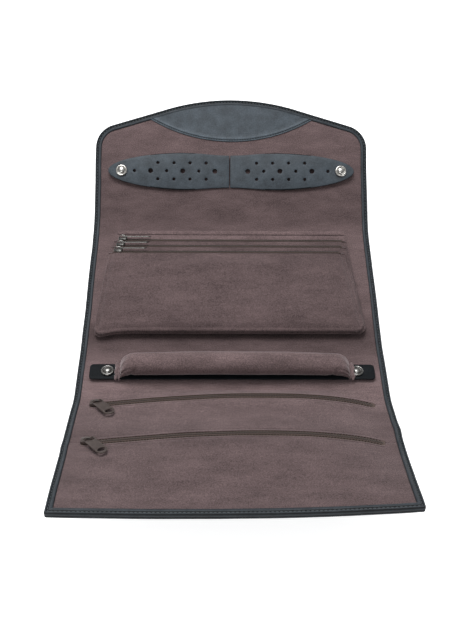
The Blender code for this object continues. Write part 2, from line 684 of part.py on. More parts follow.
def zip_bag(index, word, hinge):
    """One of the stacked zip bags, with its zip along its slanted top rim."""
    low = LINING_TOP + GAP + index * (BAG_THICKNESS + GAP)
    low = level(low)
    high = low + BAG_THICKNESS
    top = -PAGE_STRIP - GAP - index * BAG_STEP
    bottom = -PAGE_STRIP - GAP - BAG_LENGTH
    slope = (BAG_TOP_INSET - BAG_BOTTOM_INSET) / BAG_LENGTH
    middle = (low + high) / 2

    def half_at(y):
        side = WIDTH / 2 - BAG_TOP_INSET + slope * (-PAGE_STRIP - y)
        from_end = y - bottom
        if from_end < BAG_CORNER:
            side -= BAG_CORNER - math.sqrt(BAG_CORNER**2 - (BAG_CORNER - from_end) ** 2)
        return side

    sections = []
    for share in BAG_CORNER_SHARES:
        y = bottom + share * BAG_CORNER
        end = min(1.0, BAG_END_SHARE + BAG_END_RISE * share)
        thick = BAG_THICKNESS / 2 * math.sqrt(1.0 - (1.0 - end) ** 2)
        sections.append(bag_section(y, half_at(y), middle - thick, middle + thick))
    rim = top - (BAG_THICKNESS - BAG_LIP)
    sections.append(bag_section(rim, half_at(rim), low, high))
    sections.append(bag_section(top, half_at(top), low, low + BAG_LIP))
    solid(f"zip_bag_{word}", loft(sections), SUEDE_FINISH, hinge)

    rim_middle = ((top + rim) / 2, (high + low + BAG_LIP) / 2)
    slant = empty(f"{word}_bag_rim", hinge, (0.0, *rim_middle), (-45.0, 0.0, 0.0))
    tape_end = half_at(top) - BAG_ZIP_INSET
    half = BAG_TAPE_WIDTH / 2
    coil = COIL_WIDTH / 2
    tape_top = GAP + TAPE_THICKNESS
    ridge = tape_top + COIL_HEIGHT
    profile = [(half, GAP), (half, tape_top), (coil, tape_top), (coil, ridge)]
    profile += [(-coil, ridge), (-coil, tape_top), (-half, tape_top), (-half, GAP)]
    sides = [[(x, across, up) for across, up in profile] for x in (-tape_end, tape_end)]
    solid(f"{word}_bag_zip", loft(sides), TAPE_FINISH, slant)
    rest_x = -tape_end + BAG_SLIDER_LENGTH / 2
    width = BAG_TAPE_WIDTH + BAG_SLIDER_SPARE
    axis = slider(
        f"{word}_bag_slider", slant, rest_x, 0.0, tape_top, BAG_SLIDER_LENGTH, width, METAL_FINISH
    )
    pull(
        f"{word}_bag_pull",
        slant,
        rest_x,
        0.0,
        tape_top + axis,
        BAG_PULL_LENGTH,
        BAG_PULL_WIDTH,
        BAG_PULL_EYE_HALF,
        0.0,
        METAL_FINISH,
    )


def bag_stack():
    """The three zip bags, which lift together like a page on a strip of cloth behind them."""
    hinge_y = MIDDLE_LENGTH / 2 - PAGE_HINGE_INSET
    hinge = empty("bag_page_hinge", middle_frame, (0.0, hinge_y, 0.0))
    low = level(LINING_TOP + GAP)
    half = WIDTH / 2 - BAG_TOP_INSET - BAG_SIDE_ROUNDING
    strip = rectangle(-half, half, -PAGE_STRIP, -GAP)
    solid("bag_page_strip", plate([strip], low, low + PAGE_CLOTH), SUEDE_FINISH, hinge)
    seam = rectangle(-half, half, hinge_y + GAP, hinge_y + PAGE_SEAM)
    solid("bag_page_seam", plate([seam], low, low + PAGE_CLOTH), SUEDE_FINISH, middle_frame)
    for index, word in enumerate(BAG_WORDS):
        zip_bag(index, word, hinge)


strip_panel("middle_panel", -MIDDLE_LENGTH / 2, MIDDLE_LENGTH / 2, middle_frame, padded=False)
strip_panel("upper_spine", 0.0, UPPER_SPINE_LENGTH, upper_fold, padded=True)
strip_panel("lower_spine", -LOWER_SPINE_LENGTH, 0.0, lower_fold, padded=True)
flap()
pocket_base = pocket_panel()
earring_wing(-1, "left")
earring_wing(1, "right")
ring_bar()
bag_stack()
pocket_zip("upper", UPPER_ZIP_FROM_FOLD, pocket_base)
pocket_zip("lower", LOWER_ZIP_FROM_FOLD, pocket_base)
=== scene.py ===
"""Looks of the fold-up jewelry roll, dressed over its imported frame.

Metres, +Z up. Soft pieces are shaped in flat coordinates and then laid on the bent roll: x runs across,
u along the opened roll from the middle panel's centre towards the flap, and h is the height above the
top of the turned border.
"""
import json
import math

import bmesh
import bpy
from mathutils import Matrix, Vector, noise
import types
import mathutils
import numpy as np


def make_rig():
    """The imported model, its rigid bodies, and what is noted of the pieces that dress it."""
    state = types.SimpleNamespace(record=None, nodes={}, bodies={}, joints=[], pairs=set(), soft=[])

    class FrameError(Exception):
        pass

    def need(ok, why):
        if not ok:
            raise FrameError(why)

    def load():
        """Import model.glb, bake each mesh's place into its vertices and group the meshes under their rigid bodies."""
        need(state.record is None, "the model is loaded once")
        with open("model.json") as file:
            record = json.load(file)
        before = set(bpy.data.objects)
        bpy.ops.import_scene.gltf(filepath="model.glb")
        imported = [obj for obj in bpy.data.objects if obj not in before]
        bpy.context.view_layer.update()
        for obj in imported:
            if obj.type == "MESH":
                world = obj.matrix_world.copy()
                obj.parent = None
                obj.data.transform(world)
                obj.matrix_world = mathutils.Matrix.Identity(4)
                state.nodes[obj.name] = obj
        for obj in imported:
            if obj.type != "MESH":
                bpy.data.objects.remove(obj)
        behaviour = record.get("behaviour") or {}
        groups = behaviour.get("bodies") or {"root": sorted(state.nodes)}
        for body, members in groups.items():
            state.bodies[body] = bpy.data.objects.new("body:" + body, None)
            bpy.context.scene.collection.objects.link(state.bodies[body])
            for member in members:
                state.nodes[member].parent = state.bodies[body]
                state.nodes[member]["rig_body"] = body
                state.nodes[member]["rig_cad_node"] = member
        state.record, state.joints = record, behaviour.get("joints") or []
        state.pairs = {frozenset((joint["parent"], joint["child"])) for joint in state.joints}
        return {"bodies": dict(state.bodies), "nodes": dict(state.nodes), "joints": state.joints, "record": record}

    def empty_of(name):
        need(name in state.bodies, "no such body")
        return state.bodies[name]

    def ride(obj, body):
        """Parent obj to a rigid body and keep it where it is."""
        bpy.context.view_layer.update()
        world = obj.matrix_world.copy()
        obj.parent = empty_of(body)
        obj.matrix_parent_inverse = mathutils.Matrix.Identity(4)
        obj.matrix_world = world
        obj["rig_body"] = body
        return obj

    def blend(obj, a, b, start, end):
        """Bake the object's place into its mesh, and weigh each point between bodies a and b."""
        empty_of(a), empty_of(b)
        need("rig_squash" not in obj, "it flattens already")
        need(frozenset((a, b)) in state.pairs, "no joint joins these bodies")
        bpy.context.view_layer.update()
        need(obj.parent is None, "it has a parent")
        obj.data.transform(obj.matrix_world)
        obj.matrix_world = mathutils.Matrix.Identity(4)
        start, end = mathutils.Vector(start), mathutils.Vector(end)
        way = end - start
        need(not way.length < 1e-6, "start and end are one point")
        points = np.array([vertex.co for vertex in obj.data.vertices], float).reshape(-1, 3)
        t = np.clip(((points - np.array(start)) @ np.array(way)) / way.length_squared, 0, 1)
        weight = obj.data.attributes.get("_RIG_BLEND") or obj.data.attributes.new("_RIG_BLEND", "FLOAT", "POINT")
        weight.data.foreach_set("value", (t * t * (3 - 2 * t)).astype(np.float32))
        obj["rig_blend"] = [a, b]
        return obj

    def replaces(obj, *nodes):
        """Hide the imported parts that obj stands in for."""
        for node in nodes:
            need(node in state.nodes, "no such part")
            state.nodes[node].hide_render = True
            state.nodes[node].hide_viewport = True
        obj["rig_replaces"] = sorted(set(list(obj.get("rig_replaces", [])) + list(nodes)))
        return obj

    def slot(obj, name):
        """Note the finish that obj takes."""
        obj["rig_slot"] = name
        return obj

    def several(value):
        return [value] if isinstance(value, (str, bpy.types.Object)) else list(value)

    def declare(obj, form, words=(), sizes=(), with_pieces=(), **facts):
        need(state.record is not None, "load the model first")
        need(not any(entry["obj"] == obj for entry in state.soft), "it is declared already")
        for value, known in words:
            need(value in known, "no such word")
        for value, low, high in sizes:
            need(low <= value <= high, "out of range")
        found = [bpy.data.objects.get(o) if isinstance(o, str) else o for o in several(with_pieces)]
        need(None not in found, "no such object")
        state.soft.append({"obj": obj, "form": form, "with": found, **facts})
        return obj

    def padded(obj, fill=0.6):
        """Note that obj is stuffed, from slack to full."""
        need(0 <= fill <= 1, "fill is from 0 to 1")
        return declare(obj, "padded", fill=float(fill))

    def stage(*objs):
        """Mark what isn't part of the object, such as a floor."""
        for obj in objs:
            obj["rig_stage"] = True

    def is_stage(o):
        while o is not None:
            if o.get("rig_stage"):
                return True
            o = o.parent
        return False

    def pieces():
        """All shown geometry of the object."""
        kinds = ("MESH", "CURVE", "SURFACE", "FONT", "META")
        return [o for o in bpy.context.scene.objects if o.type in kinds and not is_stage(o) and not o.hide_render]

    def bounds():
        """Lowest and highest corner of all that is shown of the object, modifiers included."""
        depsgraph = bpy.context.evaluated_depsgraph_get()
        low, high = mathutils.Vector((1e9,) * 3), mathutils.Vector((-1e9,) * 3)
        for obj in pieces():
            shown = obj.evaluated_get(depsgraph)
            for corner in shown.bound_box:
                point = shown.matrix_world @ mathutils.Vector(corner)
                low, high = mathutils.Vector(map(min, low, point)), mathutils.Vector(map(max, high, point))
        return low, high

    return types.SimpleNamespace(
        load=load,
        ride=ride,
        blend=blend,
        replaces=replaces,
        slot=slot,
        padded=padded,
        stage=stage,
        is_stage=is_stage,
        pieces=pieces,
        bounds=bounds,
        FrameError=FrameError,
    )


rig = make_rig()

for startup_object in list(bpy.data.objects):
    bpy.data.objects.remove(startup_object)

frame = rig.load()
BOUNDS_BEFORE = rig.bounds()
MM = 0.001
QUARTER = math.pi / 2


def in_mm(pairs):
    """Pairs of millimetres as metres."""
    return [(a * MM, b * MM) for a, b in pairs]


def lerp(a, b, t):
    return a + (b - a) * t


def ramp(value, low, high):
    """0 below low, 1 above high, smooth between."""
    share = min(1.0, max(0.0, (value - low) / (high - low)))
    return share * share * (3 - 2 * share)


def arc(cx, cy, radius, start, end, steps):
    """Points on an arc from one angle to another."""
    turns = [lerp(start, end, i / steps) for i in range(steps + 1)]
    return [(cx + radius * math.cos(turn), cy + radius * math.sin(turn)) for turn in turns]


def circle(cx, cy, radius, sides):
    return arc(cx, cy, radius, 0.0, 4 * QUARTER, sides)[:-1]


# The roll's centre line in the side view, from the frame's folds

JOINTS = {joint["name"]: joint for joint in frame["joints"]}


def joint_place(name):
    """A joint's place as (y, z)."""
    return Vector(JOINTS[name]["pos_m"][1:])


UPPER_POINT = joint_place("upper_fold")
FLAP_POINT = joint_place("flap_fold")
LOWER_POINT = joint_place("lower_fold")
POCKET_POINT = joint_place("pocket_fold")
UPPER_WAY = (FLAP_POINT - UPPER_POINT).normalized()
FLAP_WAY = Vector(JOINTS["earring_left_lift"]["axis"][1:]).normalized()
LOWER_WAY = (LOWER_POINT - POCKET_POINT).normalized()
POCKET_WAY = (joint_place("upper_pocket_pull_flip") - joint_place("lower_pocket_pull_flip")).normalized()

FLAP_LENGTH = 87 * MM
POCKET_LENGTH = 135 * MM
U_UPPER = UPPER_POINT.x
U_FLAP = U_UPPER + (FLAP_POINT - UPPER_POINT).length
U_TIP = U_FLAP + FLAP_LENGTH
U_LOWER = LOWER_POINT.x
U_POCKET = U_LOWER - (POCKET_POINT - LOWER_POINT).length
U_FRONT = U_POCKET - POCKET_LENGTH
FOLDS = (U_UPPER, U_FLAP, U_LOWER, U_POCKET)
FILLET = 9 * MM

HALF_WIDTH = 125 * MM
UNDERSIDE = -5.6 * MM
WING_LINE = U_FLAP + 18.8 * MM
BAR_LINE = (U_LOWER + U_POCKET) / 2
UPPER_ZIP = U_POCKET - 8 * MM
LOWER_ZIP = U_POCKET - 57 * MM


def straight(u):
    """The centre line with sharp folds: a point and its direction."""
    if u > U_FLAP:
        return FLAP_POINT + FLAP_WAY * (u - U_FLAP), FLAP_WAY
    if u > U_UPPER:
        return UPPER_POINT + UPPER_WAY * (u - U_UPPER), UPPER_WAY
    if u > U_LOWER:
        return Vector((u, UPPER_POINT.y)), Vector((1.0, 0.0))
    if u > U_POCKET:
        return LOWER_POINT + LOWER_WAY * (u - U_LOWER), LOWER_WAY
    return POCKET_POINT + POCKET_WAY * (u - U_POCKET), POCKET_WAY


def bent(u):
    """The centre line with rounded folds."""
    for fold in FOLDS:
        if abs(u - fold) < FILLET:
            before, corner, after = (straight(fold + step * FILLET)[0] for step in (-1, 0, 1))
            t = (u - fold + FILLET) / (2 * FILLET)
            point = before * (1 - t) ** 2 + corner * 2 * t * (1 - t) + after * t * t
            way = (corner - before) * (1 - t) + (after - corner) * t
            return point, way.normalized()
    return straight(u)


CURL_REACH = 75 * MM
CURL_RIGHT, CURL_RIGHT_START = 5.8 * MM, 20 * MM
CURL_LEFT, CURL_LEFT_START = 1.5 * MM, 40 * MM
CURL_MIDDLE = 0.6 * MM
WAVE = 0.25 * MM
WANDER = 0.35 * MM
KINK_WIDE = 30 * MM
KINKS = (
    (HALF_WIDTH, U_POCKET - 41 * MM, 0.8 * MM, 7 * MM),
    (-HALF_WIDTH, U_POCKET - 62 * MM, 0.5 * MM, 6 * MM),
)


def lift(x, u):
    """How far the bent leather stands off its panel's plane."""
    front = 1 - ramp(u, U_FRONT, U_FRONT + CURL_REACH)
    right = max(0.0, (x + CURL_RIGHT_START) / (HALF_WIDTH + CURL_RIGHT_START)) ** 2
    left = max(0.0, (-x - CURL_LEFT_START) / (HALF_WIDTH - CURL_LEFT_START)) ** 2
    curl = front * (CURL_RIGHT * right + CURL_LEFT * left - CURL_MIDDLE)
    waves = WAVE * noise.noise((x * 30, u * 45, 1.7))
    return curl + waves * ramp(abs(u), U_UPPER, U_UPPER + 20 * MM)


def widen(x, u):
    """How far the sides wander in and out."""
    way = 1 if x > 0 else -1
    out = WANDER * noise.noise((way * 3.1, u * 38, 0.3))
    for side, at, size, long in KINKS:
        out += size * math.exp(-((x - side) / KINK_WIDE) ** 2 - ((u - at) / long) ** 2)
    return way * (abs(x) / HALF_WIDTH) ** 3 * out


def place(x, u, h):
    """A flat point laid on the bent roll."""
    point, way = bent(u)
    h += lift(x, u)
    return Vector((x + widen(x, u), point.x - way.y * h, point.y + way.x * h))


# Building and dressing pieces


class Shape:
    """Points and faces of one piece."""

    def __init__(self):
        self.points = []
        self.faces = []

    def grid(self, rows, closed=False):
        """Quads over rows of points. A closed grid joins each row's last point to its first."""
        start = len(self.points)
        count = len(rows[0])
        for row in rows:
            self.points += [tuple(point) for point in row]
        span = count if closed else count - 1
        for j in range(len(rows) - 1):
            for i in range(span):
                a = start + j * count + i
                b = start + j * count + (i + 1) % count
                self.faces.append((a, b, b + count, a + count))
        return self

    def fill(self, loop):
        """One flat face round a loop of points."""
        start = len(self.points)
        self.points += [tuple(point) for point in loop]
        self.faces.append(tuple(range(start, start + len(loop))))
        return self

    def tube(self, rings):
        """Closed rings joined in order, with both ends filled."""
        return self.grid(rings, closed=True).fill(rings[0]).fill(rings[-1])

    def slab(self, tops, lows):
        """A closed sheet between two grids of one size."""
        self.grid(tops).grid(lows)
        for end in (0, -1):
            self.grid([tops[end], lows[end]])
            self.grid([[row[end] for row in tops], [row[end] for row in lows]])
        return self


# Faces steeper than this take a piece's edge material: its black-painted cut edge and the bevel beside it, which
# stands in as painted shade under a raised wing or strap.
EDGE_STEEPNESS = 0.93


def build(name, shape, material, sharp=48.0, weld=2e-6, edge_material=None):
    """A mesh object from a shape in flat coordinates, which it keeps for its material."""
    bm = bmesh.new()
    for point in shape.points:
        bm.verts.new(point)
    bm.verts.ensure_lookup_table()
    for face in shape.faces:
        bm.faces.new([bm.verts[i] for i in face])
    bmesh.ops.remove_doubles(bm, verts=bm.verts, dist=weld)
    bmesh.ops.recalc_face_normals(bm, faces=bm.faces)
    for face in bm.faces:
        face.smooth = True
        if edge_material and abs(face.normal.z) < EDGE_STEEPNESS:
            face.material_index = 1
    flat = [tuple(vertex.co) for vertex in bm.verts]
    for vertex in bm.verts:
        vertex.co = place(*vertex.co)
    bm.normal_update()
    for edge in bm.edges:
        if len(edge.link_faces) == 2 and edge.calc_face_angle(0.0) > math.radians(sharp):
            edge.smooth = False
    mesh = bpy.data.meshes.new(name)
    bm.to_mesh(mesh)
    bm.free()
    stored = mesh.attributes.new("flat", "FLOAT_VECTOR", "POINT")
    for i, point in enumerate(flat):
        stored.data[i].vector = point
    mesh.materials.append(material)
    if edge_material:
        mesh.materials.append(edge_material)
    piece = bpy.data.objects.new(name, mesh)
    bpy.context.collection.objects.link(piece)
    return piece


BEND_REACH = 10 * MM
BENDS = {
    "upper_fold": ("middle_panel", "upper_spine", U_UPPER - BEND_REACH, U_UPPER + BEND_REACH),
    "flap_fold": ("upper_spine", "flap", U_FLAP - BEND_REACH, U_FLAP + BEND_REACH),
    "lower_fold": ("middle_panel", "lower_spine", U_LOWER + BEND_REACH, U_LOWER - BEND_REACH),
    "pocket_fold": ("lower_spine", "pocket_panel", U_POCKET + BEND_REACH, U_POCKET - BEND_REACH),
}


def dress(piece, slot, carrier, *nodes):
    """A piece's record slot, the body it rides on or the fold it bends with, and its CAD nodes."""
    if nodes:
        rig.replaces(piece, *nodes)
    if slot:
        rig.slot(piece, slot)
    if carrier not in BENDS:
        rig.ride(piece, carrier)
        return
    body, other, start, end = BENDS[carrier]
    ends = []
    for u in (start, end):
        point = straight(u)[0]
        ends.append((0.0, point.x, point.y))
    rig.blend(piece, body, other, *ends)


# Materials


def socket(node, name):
    """A node's input by its name in small letters, with _ for each space."""
    for entry in node.inputs:
        if entry.name.lower().replace(" ", "_") == name:
            return entry
    raise KeyError(name)


def tint(colour, share):
    return tuple(channel * share for channel in colour)


class Nodes:
    """Short calls for the node tree of a material or of the world."""

    def __init__(self, owner, shader="Principled BSDF"):
        owner.use_nodes = True
        self.owner = owner
        self.tree = owner.node_tree
        self.shader = self.tree.nodes[shader]

    def add(self, kind, links=(), **values):
        node = self.tree.nodes.new("ShaderNode" + kind)
        for key, value in values.items():
            if hasattr(node, key):
                setattr(node, key, value)
            else:
                socket(node, key).default_value = value
        for entry, source in dict(links).items():
            self.tree.links.new(source, node.inputs[entry])
        return node

    def place(self, carried=False):
        """Texture coordinates in millimetres: flat ones, or the mesh's own on a CAD node."""
        if carried:
            source = self.add("TexCoord").outputs["Object"]
        else:
            source = self.add("Attribute", attribute_name="flat").outputs["Vector"]
        return self.add("VectorMath", {0: source}, operation="SCALE", scale=1000.0).outputs[0]

    def axis(self, place, name):
        return self.add("SeparateXYZ", {"Vector": place}).outputs[name]

    def stretch(self, place, across, along):
        """Coordinates scaled apart across the roll and along it."""
        node = self.add("Mapping", {"Vector": place})
        node.inputs["Scale"].default_value = (across, along, along)
        return node.outputs[0]

    def noise(self, place, scale, detail=3.0, roughness=0.55):
        """Noise with its scale in waves per millimetre."""
        node = self.add("TexNoise", {"Vector": place}, scale=scale, detail=detail, roughness=roughness)
        return node.outputs["Fac"]

    def shade(self, factor, stops):
        """A colour ramp over a factor. Each stop is a place and its colour or its grey level."""
        node = self.add("ValToRGB", {"Fac": factor})
        elements = node.color_ramp.elements
        while len(elements) < len(stops):
            elements.new(0.5)
        for element, (at, colour) in zip(elements, stops):
            element.position = at
            element.color = (*colour, 1.0) if isinstance(colour, tuple) else (colour, colour, colour, 1.0)
        return node.outputs["Color"]

    def tones(self, factor, colour, *stops):
        """A colour ramp over shares of one colour."""
        return self.shade(factor, [(at, tint(colour, share)) for at, share in stops])

    def math(self, operation, a, b):
        node = self.add("Math", operation=operation)
        for i, value in enumerate((a, b)):
            if isinstance(value, (int, float)):
                node.inputs[i].default_value = value
            else:
                self.tree.links.new(value, node.inputs[i])
        return node.outputs[0]

    def total(self, *terms):
        """The weighted sum of (source, weight) pairs."""
        parts = [self.math("MULTIPLY", source, weight) for source, weight in terms]
        result = parts[0]
        for part in parts[1:]:
            result = self.math("ADD", result, part)
        return result

    def share(self, value, low, high):
        """0 where a value is low, and 1 where it is high."""
        return self.math("DIVIDE", self.math("SUBTRACT", value, low), high - low)

    def darken(self, tone, shade):
        links = {6: tone, 7: shade}
        return self.add("Mix", links, data_type="RGBA", blend_type="MULTIPLY", factor=1.0).outputs[2]

    def bump(self, height, distance, strength=0.6):
        node = self.add("Bump", {"Height": height}, distance=distance, strength=strength)
        self.link(node.outputs["Normal"], "Normal")

    def set(self, **values):
        for key, value in values.items():
            socket(self.shader, key).default_value = value

    def link(self, source, entry):
        self.tree.links.new(source, self.shader.inputs[entry])

    def roughen(self, source, share, least):
        self.link(self.math("ADD", self.math("MULTIPLY", source, share), least), "Roughness")


# How bright an edged leather is, by its height: dark under its glue line and on its cut edge, with painted shade in
# its sewn groove.
EDGE_LOW, EDGE_HIGH = -6.0, 1.0
EDGE_PAINT_AND_GROOVE_SHADE = [
    (0.0, 1.0), (0.1, 1.0), (0.2, 0.66), (0.36, 0.7), (0.39, 0.16), (0.43, 0.16), (0.47, 0.75),
    (0.66, 0.8), (0.71, 0.12), (0.76, 0.16), (0.815, 0.5), (0.85, 1.0),
]


def leather_material(name, colour, grain=1.0, edged=False, gloss=0.2):
    """Fine-grained leather with soft mottling. An edged one is dark on its cut edge and has painted shade in its sewn
    groove.
    """
    n = Nodes(bpy.data.materials.new(name))
    at = n.place()
    mottle = n.noise(at, 0.11, detail=4.0)
    rubbed = n.noise(at, 0.8, detail=4.0, roughness=0.65)
    fine = n.noise(at, 2.4, roughness=0.7)
    mix = n.total((mottle, 0.3), (rubbed, 0.3), (fine, 0.4))
    tone = n.tones(mix, colour, (0.36, 0.5), (0.5, 1.0), (0.64, 1.65))
    # Dark cut edge and glue line, with painted shade in the sewn groove.
    if edged:
        tone = n.darken(tone, n.shade(n.share(n.axis(at, "Z"), EDGE_LOW, EDGE_HIGH), EDGE_PAINT_AND_GROOVE_SHADE))
    n.link(tone, "Base Color")
    cells = n.add("TexVoronoi", {"Vector": at}, scale=1.5, feature="DISTANCE_TO_EDGE")
    pores = n.math("MINIMUM", cells.outputs["Distance"], 0.25)
    n.bump(n.total((pores, 1.6), (n.noise(at, 0.55), 1.0)), 0.22 * MM * grain)
    n.roughen(n.noise(at, 0.9, detail=2.0), 0.22, 0.34)
    n.set(specular_ior_level=gloss)
    return n.owner


# Painted light and shade on the lining by its place along u in millimetres: painted shade at the pocket panel's front,
# beside the bags' lower ends and over the upper spine, and painted light just in front of the ring bar.
LINING_SHADE_LOW, LINING_SHADE_HIGH = -260, 190
LINING_LIGHT_AND_SHADE = [
    (-260, 0.86), (-170, 0.86), (-135, 1.0), (-118, 1.2), (-108, 1.34), (-98, 1.3), (-72, 0.95),
    (-60, 0.72), (-48, 0.6), (-30, 1.0), (52, 1.0), (72, 0.82), (98, 0.79), (118, 0.92), (135, 1.0),
]
# Painted shade on the lining under the wings: its line along u, its half reach along u and across, and its ramp.
WING_SHADE_U = 119.3
WING_SHADE_HALF_U = 13.5
WING_SHADE_HALF_X = 98.0
WING_SHADE_TONES = [(0.5, 0.48), (1.0, 1.0)]


def suede_material(name, colour, toned=False):
    """Suede with a short brushed nap: cloudy patches, faint streaks across the roll and fine specks.

    With painted shade, it is darker under the wings, beside the bags' lower ends, over the upper spine and at the
    pocket panel's front, and lighter just in front of the ring bar.
    """
    n = Nodes(bpy.data.materials.new(name))
    at = n.place()
    clouds = n.noise(n.stretch(at, 0.03, 0.07), 1.0, detail=4.0)
    brushed = n.noise(n.stretch(at, 0.12, 0.42), 1.0, detail=4.0, roughness=0.65)
    specks = n.noise(at, 1.15, detail=4.0, roughness=0.8)
    mix = n.total((clouds, 0.2), (brushed, 0.11), (specks, 0.69))
    tone = n.tones(mix, colour, (0.385, 0.48), (0.5, 1.0), (0.615, 1.62))
    if toned:
        along = n.axis(at, "Y")
        # Painted shade under the wings: an oval about their line, so that the punched holes look dark.
        from_line = n.math("DIVIDE", n.math("SUBTRACT", along, WING_SHADE_U), WING_SHADE_HALF_U)
        outward = n.math("DIVIDE", n.axis(at, "X"), WING_SHADE_HALF_X)
        reach = [n.math("POWER", n.math("ABSOLUTE", value, 0.0), 4.0) for value in (outward, from_line)]
        tone = n.darken(tone, n.shade(n.math("ADD", *reach), WING_SHADE_TONES))
        # Painted light and shade along u.
        stops = [((u - LINING_SHADE_LOW) / (LINING_SHADE_HIGH - LINING_SHADE_LOW), level) for u, level in LINING_LIGHT_AND_SHADE]
        tone = n.darken(tone, n.shade(n.share(along, LINING_SHADE_LOW, LINING_SHADE_HIGH), stops))
    n.link(tone, "Base Color")
    n.bump(n.total((n.noise(at, 2.6, detail=4.0, roughness=0.75), 1.0), (specks, 0.8)), 0.3 * MM)
    n.set(roughness=0.95, specular_ior_level=0.1, sheen_weight=0.4, sheen_roughness=0.4)
    n.set(sheen_tint=(0.9, 0.82, 0.84, 1.0))
    return n.owner


def metal_material(name, colour, rough, carried=False):
    """Plated metal with faint rubbing."""
    n = Nodes(bpy.data.materials.new(name))
    rubbed = n.noise(n.place(carried), 0.8, detail=4.0)
    n.link(n.tones(rubbed, colour, (0.3, 0.86), (0.6, 1.0)), "Base Color")
    n.roughen(rubbed, 0.16, rough)
    n.set(metallic=1.0)
    return n.owner


def paint_material(name, colour):
    """Satin paint over a zinc casting."""
    n = Nodes(bpy.data.materials.new(name))
    at = n.place()
    n.link(n.tones(n.noise(at, 0.5), colour, (0.35, 0.85), (0.65, 1.12)), "Base Color")
    n.bump(n.noise(at, 2.5), 0.05 * MM, 0.4)
    n.set(roughness=0.42, specular_ior_level=0.4)
    return n.owner


def tape_material(name, colour):
    """Woven zip tape: a fine herringbone."""
    n = Nodes(bpy.data.materials.new(name))
    at = n.place()
    wave = n.add("TexWave", {"Vector": at}, scale=0.55, distortion=0.4, bands_direction="DIAGONAL")
    warp = wave.outputs["Fac"]
    weave = n.total((n.noise(at, 1.4), 0.6), (warp, 0.4))
    n.link(n.tones(weave, colour, (0.3, 0.6), (0.7, 1.4)), "Base Color")
    n.bump(warp, 0.12 * MM)
    n.set(roughness=0.85, specular_ior_level=0.2)
    return n.owner


def plain_material(name, colour, roughness, gloss=0.5, carried=False):
    """A matt finish with faint unevenness, for small or hidden parts."""
    n = Nodes(bpy.data.materials.new(name))
    uneven = n.noise(n.place(carried), 0.6)
    n.link(n.tones(uneven, colour, (0.3, 0.88), (0.7, 1.1)), "Base Color")
    n.set(roughness=roughness, specular_ior_level=gloss)
    return n.owner


SLATE = (0.060, 0.076, 0.092)
DARK_SLATE = (0.0235, 0.0296, 0.0358)
TAUPE = (0.1085, 0.0768, 0.0775)
THREAD = (0.075, 0.087, 0.096)
TAPE = (0.088, 0.064, 0.056)
COIL = (0.030, 0.023, 0.019)
SEAM_THREAD_AND_SHADE = (0.010, 0.008, 0.006)
EDGE_PAINT_AND_SHADE_BLACK = (0.012, 0.014, 0.016)
NICKEL = (0.5, 0.49, 0.47)
PAINT = (0.050, 0.037, 0.033)
GREY = (0.35, 0.33, 0.30)
MAGNET_GREY = (0.30, 0.30, 0.31)

leather = leather_material("slate_leather", DARK_SLATE, edged=True, gloss=0.22)
# The facing's and the wings' leather are lighter copies of the roll's slate leather: painted light on these flat
# pieces.
facing_leather = leather_material("facing_leather", SLATE, grain=0.9, edged=True)
wing_leather = leather_material("wing_leather", tint(SLATE, 0.61), grain=0.8)
# A much darker copy of the roll's leather for the ring bar's strap and tab: painted shade, as they lie low beside and
# under the padded bar.
strap_leather = leather_material("strap_leather", tint(DARK_SLATE, 0.25), grain=0.8, gloss=0.08)
# Black edge paint, also painted shade where it covers the bevels of the wings and straps.
edge_paint = plain_material("edge_paint", EDGE_PAINT_AND_SHADE_BLACK, 0.8, gloss=0.06)
suede = suede_material("taupe_suede", tint(TAUPE, 1.12))
lining_suede = suede_material("lining_suede", TAUPE, toned=True)
bag_suede = suede_material("bag_suede", tint(TAUPE, 0.8))
thread = plain_material("thread", THREAD, 0.7)
tape = tape_material("zip_tape", TAPE)
coil = plain_material("zip_coil", COIL, 0.42)
# Near-black, thick stitches beside each pocket zip: partly real thread, partly painted shade under the slot's lips.
zip_thread = plain_material("zip_thread", SEAM_THREAD_AND_SHADE, 0.8, gloss=0.1)
nickel = metal_material("nickel", NICKEL, 0.16)
# A darker copy of the same nickel: painted shade and dark reflection on the ring bar's snaps and the bag zips' sliders
# and pulls.
worn_nickel = metal_material("worn_nickel", tint(NICKEL, 0.4), 0.2)
paint = paint_material("painted_zip", PAINT)
board_finish = plain_material("front_board", GREY, 0.9)
foam = plain_material("grey_foam", GREY, 0.95)


# Outlines of the roll's panels

ROW_STEP = 4.5 * MM
FOLD_STEP = 1.5 * MM
SIDE_COLUMNS = 60
FRONT_COLUMNS = 48
TIP_RADIUS = 200 * MM
TIP_SLOPE = math.radians(17.0)
SHOULDER_RADIUS = 22 * MM
FRONT_CORNER = 1.6 * MM


def stations(start, end):
    """Places along u from start to end, closer together near a fold."""
    places = [start]
    way = 1 if end > start else -1
    while (end - places[-1]) * way > 1e-9:
        u = places[-1]
        near = min(abs(u - fold) for fold in FOLDS)
        step = FOLD_STEP if near < FILLET + ROW_STEP else ROW_STEP
        left = (end - u) * way
        places.append(end if left < step * 1.5 else u + way * step)
    return places


